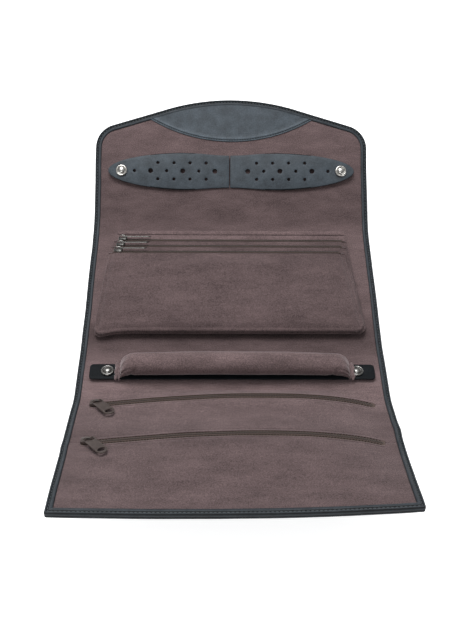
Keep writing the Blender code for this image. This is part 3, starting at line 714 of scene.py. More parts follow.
def flap_curve(inset):
    """The flap's end, from its left side over the tip to its right side, moved inwards."""
    tip_centre = U_TIP - TIP_RADIUS
    shoulder_x = HALF_WIDTH - SHOULDER_RADIUS
    touch = math.cos(TIP_SLOPE) * tip_centre + TIP_RADIUS - SHOULDER_RADIUS
    shoulder_u = (touch - math.sin(TIP_SLOPE) * shoulder_x) / math.cos(TIP_SLOPE)
    right = arc(shoulder_x, shoulder_u, SHOULDER_RADIUS - inset, 0.0, QUARTER - TIP_SLOPE, 10)
    tip = arc(0.0, tip_centre, TIP_RADIUS - inset, QUARTER - TIP_SLOPE, QUARTER, 12)
    (x0, u0), (x1, u1) = right[-1], tip[0]
    right += [(lerp(x0, x1, i / 8), lerp(u0, u1, i / 8)) for i in range(1, 8)] + tip
    return [(-x, u) for x, u in right[:-1]] + right[::-1]


def pocket_curve(inset):
    """The pocket panel's front edge with its rounded corners, moved inwards."""
    front = U_FRONT + inset
    radius = FRONT_CORNER - min(inset, FRONT_CORNER * 0.8)
    reach = HALF_WIDTH - inset - radius
    left = arc(-reach, front + radius, radius, 2 * QUARTER, 3 * QUARTER, 5)
    line = [(lerp(-reach, reach, i / FRONT_COLUMNS), front) for i in range(1, FRONT_COLUMNS)]
    return left + line + [(-x, u) for x, u in reversed(left)]


def straight_end(u):
    """A straight end across the roll at u."""

    def curve(inset):
        half = HALF_WIDTH - inset
        return [(lerp(-half, half, i / SIDE_COLUMNS), u) for i in range(SIDE_COLUMNS + 1)]

    return curve


class Panel:
    """One stretch of the roll, from a cut in its leather to the next cut or to the roll's curved end."""

    def __init__(self, word, fold, bodies, cut, far=None, curve=None):
        self.word, self.fold, self.bodies, self.cut = word, fold, bodies, cut
        self.around = curve is not None
        self.curve = curve or straight_end(far)
        self.rows = stations(cut, self.curve(0.0)[0][1])

    def columns(self, inset):
        """Rows of points from the cut to the far end. The first and last column are the sides."""
        end = self.curve(inset)
        shares = [(u - self.rows[0]) / (self.rows[-1] - self.rows[0]) for u in self.rows]
        return [[(x, lerp(self.cut, u, share)) for x, u in end] for share in shares]

    def ring(self, inset):
        """The outline: up the left side, round a curved end, and down the right side."""
        grid = self.columns(inset)
        left = [row[0] for row in grid]
        right = [row[-1] for row in reversed(grid)]
        return [left[:-1] + grid[-1] + right[1:]] if self.around else [left, right]

    def layer(self, profile, level):
        """A closed layer over the stretch.

        The profile's (inset, height) pairs run from its underside round the outer edge to its top.
        level(x, u, height) gives a point's own height.
        """

        def raised(line, height):
            return [(x, u, level(x, u, height)) for x, u in line]

        shape = Shape()
        strips = [[raised(line, height) for line in self.ring(inset)] for inset, height in profile]
        for strip in zip(*strips):
            shape.grid(strip)
        faces = (profile[0], profile[-1])
        for inset, height in faces:
            shape.grid([raised(row, height) for row in self.columns(inset)])
        for end in (0,) if self.around else (0, -1):
            shape.grid([raised(self.columns(inset)[end], height) for inset, height in faces])
            loop = [raised(self.columns(inset)[end][:1], height)[0] for inset, height in profile]
            shape.fill(loop)
            shape.fill([(-x, u, height) for x, u, height in loop])
        return shape


# The leather's edge: underside, outer edge of two layers, turned border with its sewn groove, and tray.
SHELL_PROFILE = in_mm([
    (7.0, -5.6), (3.2, -5.6), (1.7, -5.45), (0.8, -5.1), (0.3, -4.5), (0.06, -3.9), (0.12, -3.45),
    (0.6, -3.2), (0.12, -2.95), (0.0, -2.5), (0.0, -1.5), (0.12, -0.8), (0.4, -0.28), (0.85, -0.02),
    (1.25, -0.02), (1.55, -0.35), (1.8, -0.85), (2.15, -1.0), (2.5, -0.85), (2.8, -0.35),
    (3.15, -0.06), (3.8, 0.04), (4.5, 0.02), (5.1, -0.14), (5.45, -0.42), (5.5, -0.74), (5.3, -0.93),
    (4.7, -0.95), (4.7, -4.2),
])
GROOVE = 2.15 * MM
LINING_INSET = 4.85 * MM
LINING_SIDE = -1.2 * MM
LINING_EDGE = in_mm([(4.85, -2.1), (4.85, -1.3), (5.0, -1.08), (5.5, -1.0), (6.2, -0.93), (7.5, -0.85)])
LINING_UNEVEN = 0.12 * MM
POCKET_DROP = 0.8 * MM

CUT_POCKET = -92 * MM
CUT_MIDDLE = 0.0
CUT_FLAP = 83.5 * MM
PANELS = (
    Panel("pocket", "pocket_fold", ["pocket_panel"], CUT_POCKET, curve=pocket_curve),
    Panel("lower", "lower_fold", ["lower_spine"], CUT_MIDDLE, CUT_POCKET),
    Panel("upper", "upper_fold", ["middle_panel", "upper_spine"], CUT_MIDDLE, CUT_FLAP),
    Panel("flap", "flap_fold", ["flap"], CUT_FLAP, curve=flap_curve),
)


def lining_level(x, u, height):
    """The lining's surface: a little uneven, and lower under the zip pockets. Its side stays as it is."""
    if height < LINING_SIDE:
        return height
    drop = POCKET_DROP * (1 - ramp(u, U_POCKET - 2 * MM, U_POCKET + 4 * MM))
    uneven = LINING_UNEVEN * noise.noise((x * 22, u * 40, 5.0))
    return height + uneven * ramp(HALF_WIDTH - abs(x), 7.5 * MM, 14 * MM) - drop


BOARD_LOW = -3.9 * MM
BOARD_TOP = -2.9 * MM
BOARD_INSET = 5.8 * MM
BOARD_GAP = 0.3 * MM
BOARD_ROWS = 24
BOARD_STEPS = 14
MAGNET_PLACE = U_POCKET - 72.4 * MM
MAGNET_HOLE = 7.3 * MM


def front_board():
    """The pocket panel's board. It curls with its leather, and leaves a hole for the magnet."""
    front = pocket_curve(BOARD_INSET)
    half, top = HALF_WIDTH - BOARD_INSET, U_POCKET - BOARD_GAP
    sides = [lerp(front[0][1], top, i / BOARD_ROWS) for i in range(1, BOARD_ROWS + 1)]
    back = [(lerp(half, -half, i / FRONT_COLUMNS), top) for i in range(1, FRONT_COLUMNS)]
    loop = front + [(half, u) for u in sides] + back + [(-half, u) for u in reversed(sides)]
    centre = Vector((0.0, MAGNET_PLACE))
    shape = Shape()
    surfaces = []
    for height in (BOARD_LOW, BOARD_TOP):
        rows = []
        for i in range(BOARD_STEPS + 1):
            row = []
            for point in loop:
                away = Vector(point) - centre
                spot = centre + away.normalized() * lerp(MAGNET_HOLE, away.length, i / BOARD_STEPS)
                row.append((spot.x, spot.y, height))
            rows.append(row)
        shape.grid(rows, closed=True)
        surfaces.append(rows)
    for end in (0, -1):
        shape.grid([surfaces[0][end], surfaces[1][end]], closed=True)
    dress(build("front_board", shape, board_finish), "board", "pocket_panel", "pocket_panel_board")


# Stitches

STITCH_PITCH = 2.9 * MM
STITCH_LENGTH = 2.1 * MM
STITCH_RADIUS = 0.3 * MM
STITCH_LEVEL = -0.78 * MM
STITCH_SIZES = ((0.0, 0.35), (0.14, 0.85), (0.5, 1.0), (0.86, 0.85), (1.0, 0.35))


def stitch(shape, start, end, height, radius):
    """One stitch: a short round-ended thread from start to end."""
    way = Vector((end[0] - start[0], end[1] - start[1], 0.0))
    side = Vector((-way.y, way.x, 0.0)).normalized()
    up = Vector((0.0, 0.0, 1.0))
    rings = []
    for share, size in STITCH_SIZES:
        centre = Vector((start[0], start[1], height)) + way * share
        centre.z += radius * (0.5 * math.sin(math.pi * share) - 0.3)
        rings.append([centre + side * a + up * b for a, b in circle(0.0, 0.0, radius * size, 6)])
    shape.tube(rings)


def run_stitches(shape, line, height, pitch=STITCH_PITCH, length=STITCH_LENGTH, radius=STITCH_RADIUS):
    """Stitches along a line of (x, u) points at one height."""
    lengths = [0.0]
    for a, b in zip(line, line[1:]):
        lengths.append(lengths[-1] + math.dist(a, b))

    def at(distance):
        i = 0
        while i < len(line) - 2 and distance > lengths[i + 1]:
            i += 1
        share = (distance - lengths[i]) / (lengths[i + 1] - lengths[i])
        return [lerp(a, b, share) for a, b in zip(line[i], line[i + 1])]

    for k in range(int((lengths[-1] - length) / pitch) + 1):
        middle = (k + 0.5) * pitch
        stitch(shape, at(middle - length / 2), at(middle + length / 2), height, radius)


def panel_pieces(panel):
    """One stretch's leather with its turned border, its suede lining and the seam that holds the border."""
    shell = build(f"{panel.word}_shell", panel.layer(SHELL_PROFILE, lambda x, u, height: height), leather)
    dress(shell, "leather", panel.fold, *[f"{body}_leather" for body in panel.bodies])
    lining = build(f"{panel.word}_suede", panel.layer(LINING_EDGE, lining_level), lining_suede)
    dress(lining, "suede", panel.fold, *[f"{body}_lining" for body in panel.bodies])
    seam = Shape()
    for line in panel.ring(GROOVE):
        run_stitches(seam, line, STITCH_LEVEL)
    dress(build(f"{panel.word}_border_stitches", seam, thread, sharp=80.0), None, panel.fold)


for panel in PANELS:
    panel_pieces(panel)
front_board()


# Flap facing

FACING_LOW = U_FLAP + 47.1 * MM
FACING_RADIUS = 143.5 * MM
FACING_INSET = 4.9 * MM
FACING_UNDER = -0.83 * MM
FACING_PROFILE = in_mm([
    (0.0, -0.8), (0.02, -0.45), (0.2, -0.08), (0.6, 0.05), (1.0, -0.02), (1.25, -0.4), (1.5, -0.62),
    (1.75, -0.4), (2.0, -0.02), (2.6, 0.08), (3.4, 0.0), (4.4, -0.16), (6.5, -0.2),
])
FACING_SEAM = 1.5 * MM
FACING_SEAM_REACH = 0.94
FACING_STITCH = (-0.45 * MM, 2.4 * MM, 1.7 * MM, 0.24 * MM)


def facing_low(x, depth):
    """The facing's lower edge, moved into the facing by a depth."""
    return FACING_LOW + FACING_RADIUS - math.sqrt((FACING_RADIUS - depth) ** 2 - x * x)


def flap_end(x):
    """The place along u where the facing ends under the flap's border."""
    radius = TIP_RADIUS - FACING_INSET
    tangent = radius * math.sin(TIP_SLOPE)
    centre = U_TIP - TIP_RADIUS
    if abs(x) < tangent:
        return centre + math.sqrt(radius * radius - x * x)
    return centre + radius * math.cos(TIP_SLOPE) - (abs(x) - tangent) * math.tan(TIP_SLOPE)


def facing_reach():
    """How far across the facing's lower edge meets the border."""
    low, high = 0.0, HALF_WIDTH - SHOULDER_RADIUS
    for _ in range(40):
        x = (low + high) / 2
        if facing_low(x, 0.0) < flap_end(x):
            low = x
        else:
            high = x
    return low


def flap_facing():
    """The leather lens at the flap's tip, with its double-ridged sewn edge."""
    reach = facing_reach()
    xs = [reach * math.sin(QUARTER * (i / 40 - 1)) for i in range(81)]
    rows = []
    for depth, height in FACING_PROFILE:
        rows.append([(x, min(facing_low(x, depth), flap_end(x)), height) for x in xs])
    inner = rows[-1]
    for share in (0.25, 0.5, 0.75, 1.0):
        rows.append([(x, lerp(u, flap_end(x), share), height) for x, u, height in inner])
    rows.append([(x, u, FACING_UNDER) for x, u, _ in rows[-1]])
    low = [(x, facing_low(x, 0.0), FACING_UNDER) for x in xs]
    shape = Shape().grid(rows).grid([low, rows[-1]]).grid([low, rows[0]])
    dress(build("tip_facing", shape, facing_leather, sharp=60.0), "leather", "flap", "flap_tip_facing")
    seam = Shape()
    line = [(x * FACING_SEAM_REACH, facing_low(x * FACING_SEAM_REACH, FACING_SEAM)) for x in xs]
    run_stitches(seam, line, *FACING_STITCH)
    dress(build("facing_stitches", seam, thread, sharp=80.0), None, "flap")


flap_facing()


# Earring wings and snaps

WING_SEAM = -1.5 * MM
WING_GAP = 0.42 * MM
WING_SEAM_HALF = 15.1 * MM
WING_BELLY_AT = 42 * MM
WING_BELLY_HALF = 17.3 * MM
WING_TIP = HALF_WIDTH - 12.5 * MM
WING_SNAP = HALF_WIDTH - 24.7 * MM
WING_TOP = 1.0 * MM
WING_RISE = 2.5 * MM / WING_SNAP
WING_BOW = 1.1 * MM
WING_SINK = 0.4 * MM
WING_THICKNESS = 1.6 * MM
WING_BEVEL = 0.7 * MM
WING_STEPS = 44
HOLE_FIRST = 15.1 * MM
HOLE_PITCH = 14.7 * MM
HOLE_ROW = 7.6 * MM
LARGE_HOLE = (2.1 * MM, 24)
SMALL_HOLE = (1.3 * MM, 18)
STEM_HOLE = (2.0 * MM, 18)


def wing_half(distance):
    """Half the wing's height at a distance from the middle seam."""
    if distance < WING_BELLY_AT:
        swell = 0.5 - 0.5 * math.cos(math.pi * distance / WING_BELLY_AT)
        return lerp(WING_SEAM_HALF, WING_BELLY_HALF, swell)
    share = min(1.0, (distance - WING_BELLY_AT) / (WING_TIP - WING_BELLY_AT))
    return WING_BELLY_HALF * math.sqrt(1.0 - share**1.8)


def plate(loops, thickness, bevel, crown):
    """A bevelled plate with holes. crown(x, y) is the height of its top surface."""
    bm = bmesh.new()
    for loop in loops:
        verts = [bm.verts.new((x, y, 0.0)) for x, y in loop]
        for a, b in zip(verts, verts[1:] + verts[:1]):
            bm.edges.new((a, b))
    bmesh.ops.triangle_fill(bm, use_beauty=True, use_dissolve=False, edges=bm.edges[:])
    bm.faces.ensure_lookup_table()
    long_edges = [edge for edge in bm.edges if edge.calc_length() > 5 * MM and len(edge.link_faces) == 2]
    if long_edges:
        bmesh.ops.subdivide_edges(bm, edges=long_edges, cuts=3)
        bmesh.ops.triangulate(bm, faces=bm.faces[:])
        bmesh.ops.beautify_fill(bm, faces=bm.faces[:], edges=bm.edges[:])
    bmesh.ops.recalc_face_normals(bm, faces=bm.faces)
    if bm.faces[0].normal.z < 0:
        bmesh.ops.reverse_faces(bm, faces=bm.faces)
    grown = bmesh.ops.extrude_face_region(bm, geom=bm.faces[:])
    for element in grown["geom"]:
        if isinstance(element, bmesh.types.BMVert):
            element.co.z += thickness
    bmesh.ops.recalc_face_normals(bm, faces=bm.faces)
    rims = [edge for edge in bm.edges if edge.calc_face_angle(0.0) > math.radians(60)]
    bmesh.ops.bevel(bm, geom=rims, offset=bevel, segments=2, profile=0.6, affect="EDGES")
    for vertex in bm.verts:
        vertex.co.z += crown(vertex.co.x, vertex.co.y) - thickness
    shape = Shape()
    shape.points = [tuple(vertex.co) for vertex in bm.verts]
    bm.verts.index_update()
    shape.faces = [tuple(vertex.index for vertex in face.verts) for face in bm.faces]
    bm.free()
    return shape


def wing_top(distance, across):
    """The height of a wing's top surface above the border's top."""
    half = max(wing_half(distance), 4 * MM)
    bow = 1.0 - (across / half) ** 2
    belly = math.sin(math.pi * min(1.0, distance / WING_SNAP))
    return WING_TOP + WING_RISE * distance + (WING_BOW * bow - WING_SINK) * belly


def wing_holes():
    """The punched holes: place from the seam, place across, radius and sides."""
    holes = []
    for i in range(3):
        large = HOLE_FIRST + 2 * i * HOLE_PITCH
        holes += [(large, 0.0, *LARGE_HOLE), (large + HOLE_PITCH, 0.0, *SMALL_HOLE)]
    for i in range(4):
        for row in (HOLE_ROW, -HOLE_ROW):
            holes.append((HOLE_FIRST + (i + 0.55) * HOLE_PITCH, row, *SMALL_HOLE))
    return holes + [(WING_SNAP, 0.0, *STEM_HOLE)]


def earring_wing(side, word):
    """One punched leather wing."""
    seam = WING_SEAM + side * WING_GAP
    length = abs(side * WING_TIP - seam)
    upper = []
    for i in range(WING_STEPS + 1):
        distance = length * math.sin(QUARTER * i / WING_STEPS)
        upper.append((distance, wing_half(distance * WING_TIP / length)))
    loops = [upper + [(x, -y) for x, y in reversed(upper[:-1])]]
    loops += [circle(x - side * seam, y, radius, sides) for x, y, radius, sides in wing_holes()]
    shape = plate(loops, WING_THICKNESS, WING_BEVEL, wing_top)
    shape.points = [(seam + side * x, WING_LINE + y, z) for x, y, z in shape.points]
    piece = build(f"wing_{word}", shape, wing_leather, sharp=40.0, edge_material=edge_paint)
    dress(piece, "leather", f"earring_wing_{word}", f"earring_wing_{word}")


CAP_SIDES = 40
CAP_LIFT = 0.3 * MM
CAP_PROFILE = in_mm([
    (1.6, -1.9), (1.7, 0.0), (4.7, 0.0), (5.15, 0.15), (5.3, 0.5), (5.25, 0.85), (5.0, 1.25), (4.6, 1.52),
    (4.2, 1.58), (3.9, 1.4), (3.7, 0.95), (3.5, 0.85), (3.3, 1.1), (3.0, 1.6), (2.4, 2.1), (1.6, 2.42),
    (0.8, 2.57), (0.2, 2.6),
])


def snap_cap(name, node, body, spot, finish):
    """A domed snap cap with a rolled rim, on its strap's or wing's top at spot."""
    x, u, base = spot
    rings = []
    for radius, height in CAP_PROFILE:
        rings.append([(a, b, base + CAP_LIFT + height) for a, b in circle(x, u, radius, CAP_SIDES)])
    dress(build(name, Shape().tube(rings), finish, sharp=70.0), "nickel", body, node)


for side, word in ((-1, "left"), (1, "right")):
    earring_wing(side, word)
    cap_base = WING_TOP + WING_RISE * abs(side * WING_SNAP - WING_SEAM)
    cap_spot = (side * WING_SNAP, WING_LINE, cap_base)
    snap_cap(f"wing_snap_{word}", f"earring_cap_{word}", f"earring_wing_{word}", cap_spot, nickel)


# Ring bar

STRAP_LOW = 1.6 * MM
STRAP_TOP = 3.0 * MM
STRAP_HALF = 7.6 * MM
STRAP_BEVEL = 0.3 * MM
STRAP_ROUND = 3 * MM
STRAP_END = HALF_WIDTH - 10.5 * MM
STRAP_GAP = 0.3 * MM
BAR_HINGE = -HALF_WIDTH + 31 * MM
BAR_SNAP = HALF_WIDTH - 25 * MM
BAR_LEFT = BAR_HINGE + 4.5 * MM
BAR_RIGHT = HALF_WIDTH - 31.5 * MM
BAR_RADIUS = 8.7 * MM
BAR_BOW = 0.8 * MM
BAR_BELLY = 0.6 * MM
BAR_SWELL = 12 * MM
BAR_END = 15 * MM
BAR_END_WIDE = 7.6 * MM
BAR_END_TALL = 3.0 * MM
BAR_END_RISE = 1.4 * MM
BAR_GATHER = 4.5 * MM
BAR_CREASES = ((BAR_LEFT + 9 * MM, -0.6), (BAR_RIGHT - 9 * MM, 0.6))
CREASE_LEAN = 5 * MM
CREASE_WIDTH = 1.7 * MM


def strap_outline(x0, x1, square):
    """A strap's outline from x0 to x1. The end at square isn't rounded."""
    loop = []
    corners = ((x1, STRAP_HALF), (x0, STRAP_HALF), (x0, -STRAP_HALF), (x1, -STRAP_HALF))
    for turn, (cx, cy) in enumerate(corners):
        if cx == square:
            loop.append((cx, cy))
            continue
        inward = -STRAP_ROUND if cx == x1 else STRAP_ROUND
        centre = (cx + inward, cy - math.copysign(STRAP_ROUND, cy))
        loop += arc(*centre, STRAP_ROUND, turn * QUARTER, (turn + 1) * QUARTER, 6)
    return loop


def strap_piece(name, node, body, x0, x1, square, snap):
    """A flat leather strap with one rounded end and a hole for its snap."""
    loops = [strap_outline(x0, x1, square), circle(snap, 0.0, *STEM_HOLE)]
    shape = plate(loops, STRAP_TOP - STRAP_LOW, STRAP_BEVEL, lambda x, y: STRAP_TOP)
    shape.points = [(x, BAR_LINE + y, z) for x, y, z in shape.points]
    piece = build(name, shape, strap_leather, sharp=40.0, edge_material=edge_paint)
    dress(piece, "leather", body, node)


def bar_section(x):
    """Half width, half height and centre height of the bar's cover at x."""
    from_end = min(x - BAR_LEFT, BAR_RIGHT - x)
    swell = (1.0 - (1.0 - min(1.0, from_end / BAR_SWELL)) ** 2.2) ** 0.62
    bow = 1.0 - (x / (85 * MM)) ** 2
    radius = BAR_RADIUS + BAR_BELLY * bow
    high = STRAP_TOP + 0.2 * MM + radius + BAR_BOW * bow
    centre = lerp(STRAP_TOP + BAR_END_RISE, high, swell)
    return lerp(BAR_END_WIDE, radius, swell), lerp(BAR_END_TALL, radius, swell), centre


def bar_rings(count, shrink):
    """Closed rings along the bar: gathered at both ends, creased near them, soft between."""
    ends = [BAR_END * (i / 20) ** 1.5 for i in range(21)]
    places = [BAR_LEFT + along for along in ends]
    places += [lerp(BAR_LEFT + BAR_END, BAR_RIGHT - BAR_END, i / 44) for i in range(1, 44)]
    places += [BAR_RIGHT - along for along in reversed(ends)]
    rings = []
    for x in places:
        wide, tall, centre = bar_section(x)
        gather = math.exp(-min(x - BAR_LEFT, BAR_RIGHT - x) / BAR_GATHER)
        loop = []
        for k in range(count):
            turn = 2 * math.pi * k / count
            across, up = math.cos(turn), math.sin(turn)
            pleat = 0.09 * math.cos(9 * turn + x * 40) + 0.05 * math.cos(17 * turn)
            soft = 0.022 * noise.noise((x * 34, across * 1.5, up * 1.5))
            low_front = max(0.0, -across) * (1 - max(0.0, up))
            crease = 0.0
            for at, way in BAR_CREASES:
                line = at + CREASE_LEAN * math.sin(turn + way)
                crease += 0.11 * math.exp(-((x - line) / CREASE_WIDTH) ** 2) * low_front
            reach = (1.0 + gather * pleat + soft - crease) * shrink
            loop.append((x, BAR_LINE + wide * across * reach, centre + tall * up * reach))
        rings.append(loop)
    return rings


def ring_bar_cover():
    """The padded suede cover over its foam core, gathered onto its strap at both ends."""
    cover = build("bar_cover", Shape().tube(bar_rings(72, 1.0)), suede, sharp=75.0)
    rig.padded(cover, fill=0.95)
    dress(cover, "suede", "ring_bar", "ring_bar_cover")
    core = build("bar_foam", Shape().tube(bar_rings(24, 0.7)[3:-3]), foam, sharp=75.0)
    dress(core, "bar_core", "ring_bar", "ring_bar_core")


COLLAR_STEPS = (
    (0.0, 0.8), (0.5, 1.0), (1.1, 1.08), (1.8, 0.96), (2.2, 0.82), (2.7, 0.98), (3.4, 1.1), (4.2, 1.04),
    (4.7, 0.85), (4.8, 0.6),
)
COLLAR_WIDE = 8.2 * MM
COLLAR_TALL = 2.7 * MM
COLLAR_RISE = 1.4 * MM
COLLAR_WAVE = 0.5 * MM


def bar_collar(word, end, way):
    """Two small gathers of the cover on the strap."""
    rings = []
    for along, size in COLLAR_STEPS:
        loop = []
        for k in range(64):
            turn = 2 * math.pi * k / 64
            girth = size * (1.0 + 0.05 * math.cos(7 * turn + along) + 0.03 * math.cos(19 * turn))
            x = end + way * along * MM + COLLAR_WAVE * math.cos(5 * turn)
            height = STRAP_LOW + COLLAR_RISE + COLLAR_TALL * girth * math.sin(turn)
            loop.append((x, BAR_LINE + COLLAR_WIDE * girth * math.cos(turn), height))
        rings.append(loop)
    return build(f"bar_collar_{word}", Shape().tube(rings), suede, sharp=75.0)


def ring_bar():
    """The tab, the strap with its cover, two collars and two snaps. The left collar bends at the hinge."""
    left, right = BAR_HINGE - STRAP_GAP, BAR_HINGE + STRAP_GAP
    strap_piece("bar_tab", "ring_bar_tab", "lower_spine", -STRAP_END, left, left, -BAR_SNAP)
    strap_piece("bar_strap", "ring_bar_strap", "ring_bar", right, STRAP_END, right, BAR_SNAP)
    ring_bar_cover()
    collar = bar_collar("left", BAR_LEFT + 0.4 * MM, -1)
    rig.slot(collar, "suede")
    start, stop = (tuple(place(BAR_HINGE + step * MM, BAR_LINE, STRAP_TOP)) for step in (-1, 4))
    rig.blend(collar, "lower_spine", "ring_bar", start, stop)
    dress(bar_collar("right", BAR_RIGHT - 0.4 * MM, 1), "suede", "ring_bar")
    for word, x, body in (("left", -BAR_SNAP, "lower_spine"), ("right", BAR_SNAP, "ring_bar")):
        spot = (x, BAR_LINE, STRAP_TOP)
        snap_cap(f"bar_snap_{word}", f"ring_bar_cap_{word}", body, spot, worn_nickel)


ring_bar()


# Pocket zips

ALONG_X = Vector((1.0, 0.0, 0.0))
ACROSS_U = Vector((0.0, 1.0, 0.0))
UP_H = Vector((0.0, 0.0, 1.0))
BEAD_ENDS = ((-1.0, 0.55), (-0.6, 1.0), (0.6, 1.0), (1.0, 0.55))
BEAD_ROUND = ((-1, 0.0), (-0.75, 0.8), (0.0, 1.0), (0.75, 0.8), (1, 0.0))


def bead(shape, centre, ways, size):
    """A small half-round bead, longest along the second of its ways."""
    along, across, up = ways
    half_along, half_across, tall = size
    rings = []
    for share, thick in BEAD_ENDS:
        middle = centre + across * half_across * share
        rings.append([middle + (along * half_along * a + up * tall * b) * thick for a, b in BEAD_ROUND])
    shape.tube(rings)


def zip_tape(name, frame_at, end, steps, section, carrier, node):
    """A zip's tape from -end to end. frame_at(x) gives the zip's middle, its way across and its way up."""
    rings = []
    for i in range(steps + 1):
        middle, across, up = frame_at(lerp(-end, end, i / steps))
        rings.append([middle + across * a + up * b for a, b in section])
    dress(build(name, Shape().tube(rings), tape), "zip_tape", carrier, node)


def bead_rows(frame_at, end, pitch, off, level, size, stagger=0.5, lengthwise=False):
    """Beads on both sides of a zip's middle: coil teeth across it, or stitches along it."""
    shape = Shape()
    for k in range(int(2 * end / pitch)):
        for side, shift in ((1, 0.0), (-1, stagger)):
            middle, across, up = frame_at(min((k + 0.5 + shift) * pitch - end, end))
            ways = (across, ALONG_X, up) if lengthwise else (ALONG_X, across, up)
            bead(shape, middle + up * level + across * side * off, ways, size)
    return shape


POCKET_ZIP_END = HALF_WIDTH - 14 * MM
POCKET_BASE = -1.4 * MM
POCKET_TAPE = in_mm([
    (3.4, 0.0), (3.4, 0.5), (1.7, 0.62), (0.0, 0.55), (-1.7, 0.62), (-3.4, 0.5), (-3.4, 0.0),
])
POCKET_TAPE_STEP = 1.5 * MM
TEETH_END = POCKET_ZIP_END - 1.5 * MM
# The pitch of a row of beads, their place beside the middle, their level and their size.
TEETH = (1.3 * MM, 0.55 * MM, 0.58 * MM, (0.36 * MM, 0.5 * MM, 0.8 * MM))
SEAM_STITCHES = (2.2 * MM, 2.35 * MM, 0.6 * MM, (0.42 * MM, 0.95 * MM, 0.3 * MM))
BAG_TEETH = (1.4 * MM, 0.85 * MM, 0.9 * MM, (0.45 * MM, 0.8 * MM, 0.85 * MM))
ZIP_PEAK = 1.34
ZIP_FULLNESS = 0.78
ZIP_BULGE = 6.4 * MM
ZIP_SAG = 1.3 * MM
ZIP_BOW = 4.4 * MM
LOWER_BOW = 0.85
BULGE_START = -106 * MM
BULGE_END = 107 * MM
FRONT_TOP = U_POCKET + 11 * MM
FRONT_LOW = U_FRONT + LINING_INSET


def arch(x):
    """How much a pocket's mouth stands open along its zip: 0 at its ends, 1 right of the middle."""
    share = (x - BULGE_START) / (BULGE_END - BULGE_START)
    share = min(1.0, max(0.0, share)) ** ZIP_PEAK
    return (4 * share * (1 - share)) ** ZIP_FULLNESS


def zip_line(line, x):
    """The place along u of a pocket zip's middle."""
    return line + ZIP_BOW * arch(x) * (1.0 if line > LOWER_ZIP else LOWER_BOW)


def bulge(x, u):
    """How far the pocket fronts puff up."""
    above = 1 - ramp(u, UPPER_ZIP + ZIP_BOW * arch(x), FRONT_TOP)
    below = ramp(u, U_FRONT + 6 * MM, zip_line(LOWER_ZIP, x))
    sag = math.exp(-((u - lerp(UPPER_ZIP, LOWER_ZIP, 0.45)) / (17 * MM)) ** 2)
    return arch(x) * (ZIP_BULGE * above * below - ZIP_SAG * sag)


def pocket_zip(word, line):
    """The tape, coil and seam of one zip pocket."""

    def frame_at(x):
        u = zip_line(line, x)
        step = POCKET_TAPE_STEP
        rise = (bulge(x, u + step) - bulge(x, u - step)) / (2 * step)
        across = Vector((0.0, 1.0, rise)).normalized()
        return Vector((x, u, POCKET_BASE + bulge(x, u))), across, Vector((0.0, -across.z, across.y))

    node = f"{word}_pocket_zip"
    zip_tape(f"{word}_zip_tape", frame_at, POCKET_ZIP_END, 80, POCKET_TAPE, "pocket_fold", f"{node}_tape")
    teeth = build(f"{word}_zip_teeth", bead_rows(frame_at, TEETH_END, *TEETH), coil, sharp=60.0)
    dress(teeth, "zip_coil", "pocket_fold", f"{node}_coil")
    seam = bead_rows(frame_at, TEETH_END, *SEAM_STITCHES, stagger=0.0, lengthwise=True)
    dress(build(f"{word}_zip_stitches", seam, zip_thread, sharp=60.0), None, "pocket_fold")


# Pocket fronts

SLOT_HALF = 2.9 * MM
SLOT_END = POCKET_ZIP_END + 0.8 * MM
SLOT_CREASE = 0.22 * MM
CREASE_REACH = 0.8 * MM
HEM_REACH = 9 * MM
HEM = in_mm([
    (0.0, -0.75), (0.02, -0.4), (0.2, -0.02), (0.7, 0.12), (1.3, 0.1), (1.9, -0.06), (2.3, -0.14),
    (2.8, -0.02), (4.0, 0.03), (6.0, 0.02), (9.0, 0.0),
])
SLOT_STEPS = (2.4, 1.8, 1.3, 0.9, 0.6, 0.35, 0.15, 0.03, -0.05, -0.6, -1.6, -3.2, -5.4)
RIM_STEPS = (2.2, 1.5, 0.9, 0.4, 0.0)
FRONT_BASE = -0.8 * MM
FRONT_THICKNESS = 0.5 * MM
FRONT_SOFT = 0.3 * MM
FRONT_TUCK = 0.6 * MM
FRONT_SEWN = 0.3 * MM


def slot_open(x):
    """How far a pocket's slot is open at x, from 0 past its rounded ends to 1."""
    past = max(0.0, SLOT_HALF - (SLOT_END - abs(x)))
    return math.sqrt(max(0.0, 1 - (past / SLOT_HALF) ** 2))


def pocket_rows(x):
    """The pocket fronts' surface at x, from the fold to the front border: (u, height over the bulge)."""
    open_share = slot_open(x)
    half = SLOT_HALF * open_share
    crease = -SLOT_CREASE * (1 - open_share)
    rows = []
    before = FRONT_TOP
    for line, room, steps in ((UPPER_ZIP, 0.8, 4), (LOWER_ZIP, 0.45, 9)):
        centre = zip_line(line, x)
        scale = min(1.0, (before - centre - half) * room / HEM_REACH)
        outer = centre + half + HEM_REACH * scale
        rows += [(lerp(before, outer, i / steps), 0.0) for i in range(1 if rows else 0, steps)]
        lip = [(depth * scale, height * lerp(0.25, 1.0, open_share)) for depth, height in HEM]
        if open_share <= 0:
            lip = [(depth, crease * math.exp(-depth / CREASE_REACH)) for depth, _ in lip]
        rows += [(centre + half + depth, height) for depth, height in reversed(lip)]
        rows.append((centre, lerp(crease, HEM[0][1], min(1.0, open_share * 3))))
        rows += [(centre - half - depth, height) for depth, height in lip]
        before = rows[-1][0]
    return rows + [(lerp(before, FRONT_LOW, i / 10), 0.0) for i in range(1, 11)]


